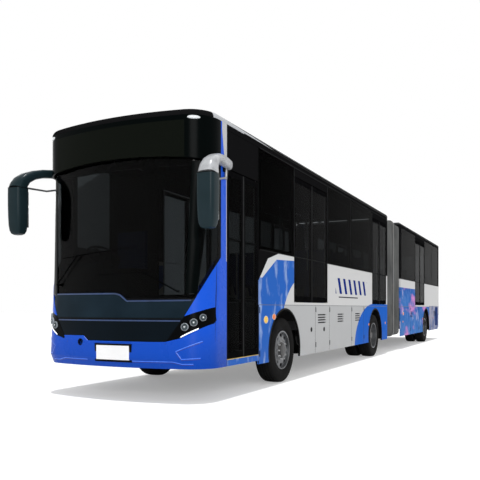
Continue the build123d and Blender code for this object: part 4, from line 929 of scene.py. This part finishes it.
for side_name, side in SIDES:
    mirror = Stock(f"mirror_{side_name}")
    sideways, forwards = Vector((0, side, 0)), Vector((1, 0, 0))
    spots = [mirror_spot(side, *point[:3]) for point in HORN_PATH]
    rings = []
    for i, spot in enumerate(spots):
        run = (spots[min(i + 1, len(spots) - 1)] - spots[max(i - 1, 0)]).normalized()
        across = (sideways - run * run.dot(sideways)).normalized()
        over = run.cross(across).normalized()
        rings.append(egg(spot, across, over, *HORN_PATH[i][3:], *HORN_EGG))
    mirror.solid(rings, horn_silver if side > 0 else mirror_shell.material)
    for rings, finish in ((HEAD_RINGS, mirror_shell.material), (HEAD_SEAM, trim_black)):
        mirror.solid([egg(mirror_spot(side, HEAD_STATION, MIRROR_Y, z), sideways, forwards, a, b, *HEAD_EGG)
                      for z, a, b in rings], finish)
    for z0, z1 in PANES:
        mirror.box(mirror_spot(side, PANE_STATIONS[0], MIRROR_Y - PANE_HALF, z0),
                   mirror_spot(side, PANE_STATIONS[1], MIRROR_Y + PANE_HALF, z1), mirror_glass, 0.006)
    low, high = [mirror_spot(side, *corner) for corner in FOOT_PLATE]
    mirror.box(low, high, trim_black, 0.006)
    for start, end, r in STAYS:
        mirror.tube((mirror_spot(side, *start), mirror_spot(side, *end)), r, shaft_steel)
    solids = ("mirrors",) if side > 0 else ()
    piece = mirror.make("front_section", replaces=solids, slot="trim_black")
    piece.visible_shadow = False

# -------------------- bellows
# Two lengths of coated cloth, sewn in folds on light hoops, join the sections to the centre hoop.
FOLDS = 9
BELLOWS_HALF = 1.215
BELLOWS_Z = (0.402, 3.388)
FOLD_DEPTH = 0.055
CLOTH = 0.006
FOLD_STEPS = 8
FOLD_SHARPNESS = 1.5
BELLOWS_RUNS = ((9.433, 10.201), (10.263, 11.031))
TUNNEL_CORNER = 0.10
CORNER_STEPS = 6
bellows_cloth = Finish("bellows_cloth", (100, 101, 103), 0.78, gloss=0.2)
cloth_cloud = bellows_cloth.between(bellows_cloth.noise(1.6, 4.0), 0.3, 0.7)
bellows_cloth.colour(bellows_cloth.mix(cloth_cloud, (70, 71, 71), (98, 99, 98)))
bellows_cloth.relief(bellows_cloth.noise(420.0, 2.0), 0.3, 0.0006)
hoop_paint = dusty("hoop_paint", (84, 86, 88), (104, 102, 98), 0.45, 120.0, 0.0006)
coat(hoop_paint, "centre_hoop")


def tunnel_ring(x, inset):
    """Rounded rectangle round the gangway at one place, inset from the cloth's crest."""
    half, low, high = BELLOWS_HALF - inset, BELLOWS_Z[0] + inset, BELLOWS_Z[1] - inset
    wide, deep, tall = half - TUNNEL_CORNER, low + TUNNEL_CORNER, high - TUNNEL_CORNER
    ring = []
    for y, z, start in ((wide, tall, 0.0), (-wide, tall, pi / 2), (-wide, deep, pi), (wide, deep, 1.5 * pi)):
        for k in range(CORNER_STEPS + 1):
            a = start + pi / 2 * k / CORNER_STEPS
            ring.append((x, y + TUNNEL_CORNER * cos(a), z + TUNNEL_CORNER * sin(a)))
    return ring


cloth = Stock("bellows_folds")
for s0, s1 in BELLOWS_RUNS:
    outer, inner = [], []
    count = FOLDS * FOLD_STEPS
    for k in range(count + 1):
        wave = 0.5 + 0.5 * cos(2 * pi * FOLDS * k / count)
        inset = FOLD_DEPTH * wave ** FOLD_SHARPNESS
        x = at(s0 + (s1 - s0) * k / count)
        outer.append(tunnel_ring(x, inset))
        inner.append(tunnel_ring(x, inset + CLOTH))
    cloth.solid(outer + inner[::-1] + [outer[0]], bellows_cloth.material, caps=False)
bellows = cloth.make(None, replaces=("bellows",), slot="rubber_grey")
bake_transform(bellows)

# -------------------- side trim
# Rubber lips round the wheel arches, hinges and locks on the flaps, marker lamps along the sides,
# black sheets behind the louvres and yellow nosings on the steps.
lens_orange = dusty("lens_orange", (244, 120, 10), (214, 96, 6), 0.18, 90.0, 0.0004, gloss=0.5)
lens_yellow = dusty("lens_yellow", (246, 196, 60), (226, 170, 40), 0.18, 90.0, 0.0004, gloss=0.5)
lens_rim = dusty("lens_rim", (196, 198, 200), (150, 150, 150), 0.2, 160.0, 0.0002, metal=0.8)
seam_line = dusty("seam_line", (70, 74, 82), (90, 92, 96), 0.5, 120.0, 0.0003)
nosing_yellow = dusty("nosing_yellow", (222, 188, 92), (180, 156, 90), 0.6, 220.0, 0.0008)
# station, height, half length, half height, lens
SIDE_LAMPS = ((1.90, 0.962, 0.080, 0.056, lens_yellow), (2.19, 1.000, 0.072, 0.046, lens_orange),
              (7.60, 0.761, 0.034, 0.030, lens_orange), (9.19, 0.759, 0.034, 0.030, lens_orange),
              (11.39, 0.972, 0.075, 0.050, lens_orange), (11.34, 0.747, 0.034, 0.030, lens_orange),
              (14.48, 0.784, 0.034, 0.030, lens_orange), (16.60, 0.780, 0.034, 0.030, lens_orange))
# lamp profiles: share of the size, distance out
SIDE_LAMP_RIM = ((0.02, -0.006), (1.0, -0.006), (1.0, 0.004), (0.92, 0.007), (0.02, 0.007))
SIDE_LAMP_LENS = ((0.02, 0.005), (0.86, 0.006), (0.62, 0.012), (0.02, 0.014))
# sections along the arches as (radius, y), with the first angle, the sweep and the steps
LIP_R = 0.622
ARCH_LIP = ((LIP_R - 0.012, SIDE_Y - 0.020), (LIP_R - 0.012, SIDE_Y + 0.004), (LIP_R + 0.010, SIDE_Y + 0.007),
            (LIP_R + 0.014, SIDE_Y - 0.001))
ARCH_LINER = ((0.602, 0.74), (0.602, 1.236), (0.608, 1.236), (0.608, 0.74))
LIP_SWEEP = (-12.4, 204.8, 48)
LINER_SWEEP = (-10.0, 200.0, 32)
LOUVRE_GROUPS = ((4.140, 4.580), (5.280, 5.670), (6.500, 6.900), (12.450, 12.800), (16.700, 17.300))
LOUVRE_MARGIN, LOUVRE_DEPTHS, LOUVRE_Z = 0.02, (-0.030, -0.034), (0.835, 1.045)
FLAP_SEAMS = (1.662, 4.000, 4.770, 6.220, 7.170, 12.400, 13.800, 16.300)
FLAP_SEAM_HALF, SEAM_DEPTHS, FLAP_Z = 0.004, (-0.006, 0.0008), (0.360, 1.168)
HINGES_Z, HINGE_HEIGHT = (0.455, 1.055), 0.085
HINGE_SET, HINGE_DEPTHS = (0.018, 0.036), (-0.004, 0.006)
ARCH_CLEAR = 0.66
BELT_LINE_Z = (1.167, 1.175)
CAPS = ((4.47, 0.75), (3.80, 0.763))
CAP = ((-0.006, 0.001), (-0.006, 0.040), (0.004, 0.040), (0.005, 0.030), (0.005, 0.001))
# y and height of the step edges
STEP_EDGES = ((1.190, 0.450), (0.710, 0.700), (0.460, 0.950))
NOSING = ((0.724, -0.045, -0.0005), (1.655, 0.001, 0.006))
SILL_NOSING = ((0.722, 1.214, 0.4795), (1.657, 1.2485, 0.489))
SIDE_SPLIT = 10.2
SIDE_RUNS = {"front_section": (1.665, 9.425), "rear_section": (11.04, 17.69)}


def arch(station, side, section, sweep):
    """Rings of a section along a wheel arch."""
    start, turn, count = sweep
    angles = [radians(start + turn * k / count) for k in range(count + 1)]
    return [[(at(station) + r * cos(a), side * y, WHEEL_R + r * sin(a)) for r, y in section] for a in angles]


def rides(body, s):
    """Whether what stands at a station belongs to a body."""
    return (s < SIDE_SPLIT) == (body == "front_section")


for body, run in SIDE_RUNS.items():
    trim = Stock(f"side_trim_{body}")
    for side in (1, -1):
        for axle, station in AXLES.items():
            if rides(body, station):
                trim.solid(arch(station, side, ARCH_LIP, LIP_SWEEP), trim_black)
                if axle != "front":
                    trim.solid(arch(station, side, ARCH_LINER, LINER_SWEEP), trim_black)
        for s, z, half_s, half_z, lens in SIDE_LAMPS:
            if rides(body, s):
                for profile, finish in ((SIDE_LAMP_RIM, lens_rim), (SIDE_LAMP_LENS, lens)):
                    middle = (at(s), side * SIDE_Y, z)
                    rings = swept(middle, (half_s, 0, 0), (0, 0, half_z), (0, side, 0), profile)
                    trim.solid(rings, finish, closed=False, caps=False)
        for s0, s1 in LOUVRE_GROUPS:
            if rides(body, s0):
                stations = (s0 - LOUVRE_MARGIN, s1 + LOUVRE_MARGIN)
                wall_bar(trim, side, stations, LOUVRE_DEPTHS, LOUVRE_Z, trim_black)
        for s in FLAP_SEAMS:
            if not rides(body, s):
                continue
            wall_bar(trim, side, (s - FLAP_SEAM_HALF, s + FLAP_SEAM_HALF), SEAM_DEPTHS, FLAP_Z, trim_black)
            if all(abs(s - station) > ARCH_CLEAR for station in AXLES.values()):
                stations = [s + gap for gap in HINGE_SET]
                for z in HINGES_Z:
                    wall_bar(trim, side, stations, HINGE_DEPTHS, (z, z + HINGE_HEIGHT), trim_black, 0.003)
        wall_bar(trim, side, run, SEAM_DEPTHS, BELT_LINE_Z, seam_line)
    if body == "front_section":
        for s, z in CAPS:
            trim.turned(CAP, (at(s), SIDE_Y, z), 1, trim_black, 24)
        for y, z in STEP_EDGES:
            low, high = [(at(s), y + dy, z + dz) for s, dy, dz in NOSING]
            trim.box(low, high, nosing_yellow, 0.002)
        low, high = [(at(s), y, z) for s, y, z in SILL_NOSING]
        trim.box(low, high, nosing_yellow, 0.002)
    trim.make(body, slot="trim_black")

# -------------------- roofs and roof units
# Pale sheet roofs whose edges are black with a grey line painted along them as highlight, turning
# silver over the step door. The low units in the middle are moulded covers with a grille on each side.
EDGE_HIGHLIGHT_BAND = (3.440, 3.450)
EDGE_HIGHLIGHT_START, SHEET_START, SILVER_START, SILVER_END = 0.62, 0.35, 0.40, 2.4
SHEET_Z = 3.4785
SILVER_LINE = (0.70, 3.46, 2.60, 3.40)
roof = Livery("roof_paint")
roof.paint = GLOSS_BLACK
# painted highlight: a grey line along the roof's black edge, rising towards the nose
highlight_z = roof.maths("ADD", roof.z, roof.between(roof.s, 0.7, 1.5, 0.045, 0.0))
roof.lay(roof.both(roof.band(highlight_z, *EDGE_HIGHLIGHT_BAND), roof.over(roof.s, EDGE_HIGHLIGHT_START)), (120, 122, 124))
roof.lay(roof.both(roof.over(roof.z, SHEET_Z), roof.over(roof.s, SHEET_START)), (214, 215, 216))
silver = roof.both(roof.band(roof.s, SILVER_START, SILVER_END), roof.outside(roof.above_line(*SILVER_LINE)))
roof.lay(silver, (180, 182, 185))
coat(roof.done(), "roof_front", "roof_rear")
unit_white = dusty("unit_white", (216, 217, 219), (190, 188, 184), 0.45, 120.0, 0.0008)
coat(unit_white, "roof_unit_front", "roof_unit_rear")
# stations of the units' front ends and of the escape hatches
ROOF_FIT = {"front_section": (3.6, (2.2, 8.3)), "rear_section": (13.8, (12.2, 17.0))}
# half length, half width and heights of a hatch's frame and of its lid
HATCH = ((0.43, 0.36, 3.479, 3.496, trim_black), (0.40, 0.33, 3.494, 3.530, unit_white))
SLATS = 22
SLAT_START, SLAT_PITCH, SLAT_LENGTH = 0.35, 0.082, 0.055
SLAT_Y, SLAT_Z = (0.6485, 0.6535), (3.525, 3.600)
for body, (unit, hatches) in ROOF_FIT.items():
    fit = Stock(f"roof_fittings_{body}")
    for hatch in hatches:
        for half_s, half_y, z0, z1, finish in HATCH:
            fit.box((at(hatch + half_s), -half_y, z0), (at(hatch - half_s), half_y, z1), finish, 0.012)
    for side in (1, -1):
        for k in range(SLATS):
            s = unit + SLAT_START + k * SLAT_PITCH
            low, high = [(at(x), side * y, z) for x, y, z in zip((s + SLAT_LENGTH, s), SLAT_Y, SLAT_Z)]
            fit.box(low, high, trim_black, 0.002)
    fit.make(body, slot="roof_white")

# -------------------- tail
# The rear mask carries round lamps in pressed seats, a slatted grille over the radiator and a
# bonded rear pane. A rubber-faced bumper runs below them, with a bare recess for the plate.
lens_red = Finish("lens_red", (170, 16, 20), 0.12, gloss=0.5)
lens_red.colour(lens_red.mix(lens_red.noise(40.0), (150, 10, 14), (196, 30, 30)))
lens_red.relief(lens_red.noise(160.0), 0.3, 0.001)
coat(lens_red.material, "rear_lamps")
TAIL_X = at(18.0)
TAIL_LAMP_Y, TAIL_LAMPS_Z = 1.06, (0.80, 0.95, 1.10)
TAIL_RING = ((0.073, -0.004), (0.073, 0.0006), (0.068, 0.001), (0.0625, 0.0006), (0.0625, -0.004))
# y and height ranges of the flat bars, by finish: the bumper's facings, the plate's recess, the
# grille's frame and the handle's lugs, then the blank plate and the pane's rubbers
TAIL_BARS = ((trim_black, 0.001, ((-1.12, 1.12, 0.447, 0.463), (-1.12, 1.12, 0.512, 0.528),
                                  (-0.30, 0.30, 1.30, 1.46),
                                  (-0.74, 0.74, 0.590, 0.606), (-0.74, 0.74, 1.092, 1.108),
                                  (0.735, 0.751, 0.590, 1.108), (-0.751, -0.735, 0.590, 1.108),
                                  (0.55, 0.57, 1.205, 1.245), (-0.57, -0.55, 1.205, 1.245))),
             (plate_white, 0.0016, ((-0.272, 0.272, 1.312, 1.448),)),
             (seam_grey, 0.001, ((-1.024, -1.004, 1.986, 3.164), (1.004, 1.024, 1.986, 3.164),
                                 (-1.014, 1.014, 1.976, 1.996), (-1.014, 1.014, 3.154, 3.174))))
rear_trim = Stock("rear_trim")
for side in (1, -1):
    for z in TAIL_LAMPS_Z:
        rings = swept((TAIL_X, side * TAIL_LAMP_Y, z), Y_WAY, Z_WAY, (-1, 0, 0), TAIL_RING)
        rear_trim.solid(rings, lens_rim, caps=False)
for finish, proud, bars in TAIL_BARS:
    for y0, y1, z0, z1 in bars:
        rear_trim.box((TAIL_X + 0.004, y0, z0), (TAIL_X - proud, y1, z1), finish)
rear_trim.make("rear_section", slot="trim_black")

# -------------------- cabin
# Moulded seats on pedestals with cloth pads, steel grab rails, and the driver's place behind the
# dashboard, closed off by a dark partition. Two wiper arms lie on the screen outside.
PARTITION = (1.495, 1.535)
seat_cloth = Finish("seat_cloth", (44, 62, 104), 0.85, gloss=0.15)
seat_s = seat_cloth.maths("SUBTRACT", NOSE_X, seat_cloth.axes()[0])
partition = seat_cloth.maths("MULTIPLY", seat_cloth.maths("GREATER_THAN", seat_s, PARTITION[0]),
                             seat_cloth.maths("LESS_THAN", seat_s, PARTITION[1]))
weave = seat_cloth.noise(180.0, 2.0)
pads = seat_cloth.mix(weave, (30, 46, 84), (58, 78, 124))
seat_cloth.colour(seat_cloth.mix(partition, pads, (16, 16, 17)))
seat_cloth.relief(weave, 0.3, 0.0008)
coat(seat_cloth.material, "seats_front", "seats_rear")
steel = dusty("pole_steel", (190, 192, 194), (160, 160, 160), 0.25, 200.0, 0.0001, metal=1.0)
coat(steel, "poles_front", "poles_rear")
dash_grey = dusty("dash_grey", (30, 31, 33), (42, 42, 43), 0.6, 240.0, 0.0006, gloss=0.2)
coat(dash_grey, "dashboard")
wiper_black = dusty("wiper_black", (6, 6, 7), (12, 12, 12), 0.6, 200.0, 0.0003, gloss=0.0)
coat(wiper_black, "wipers")
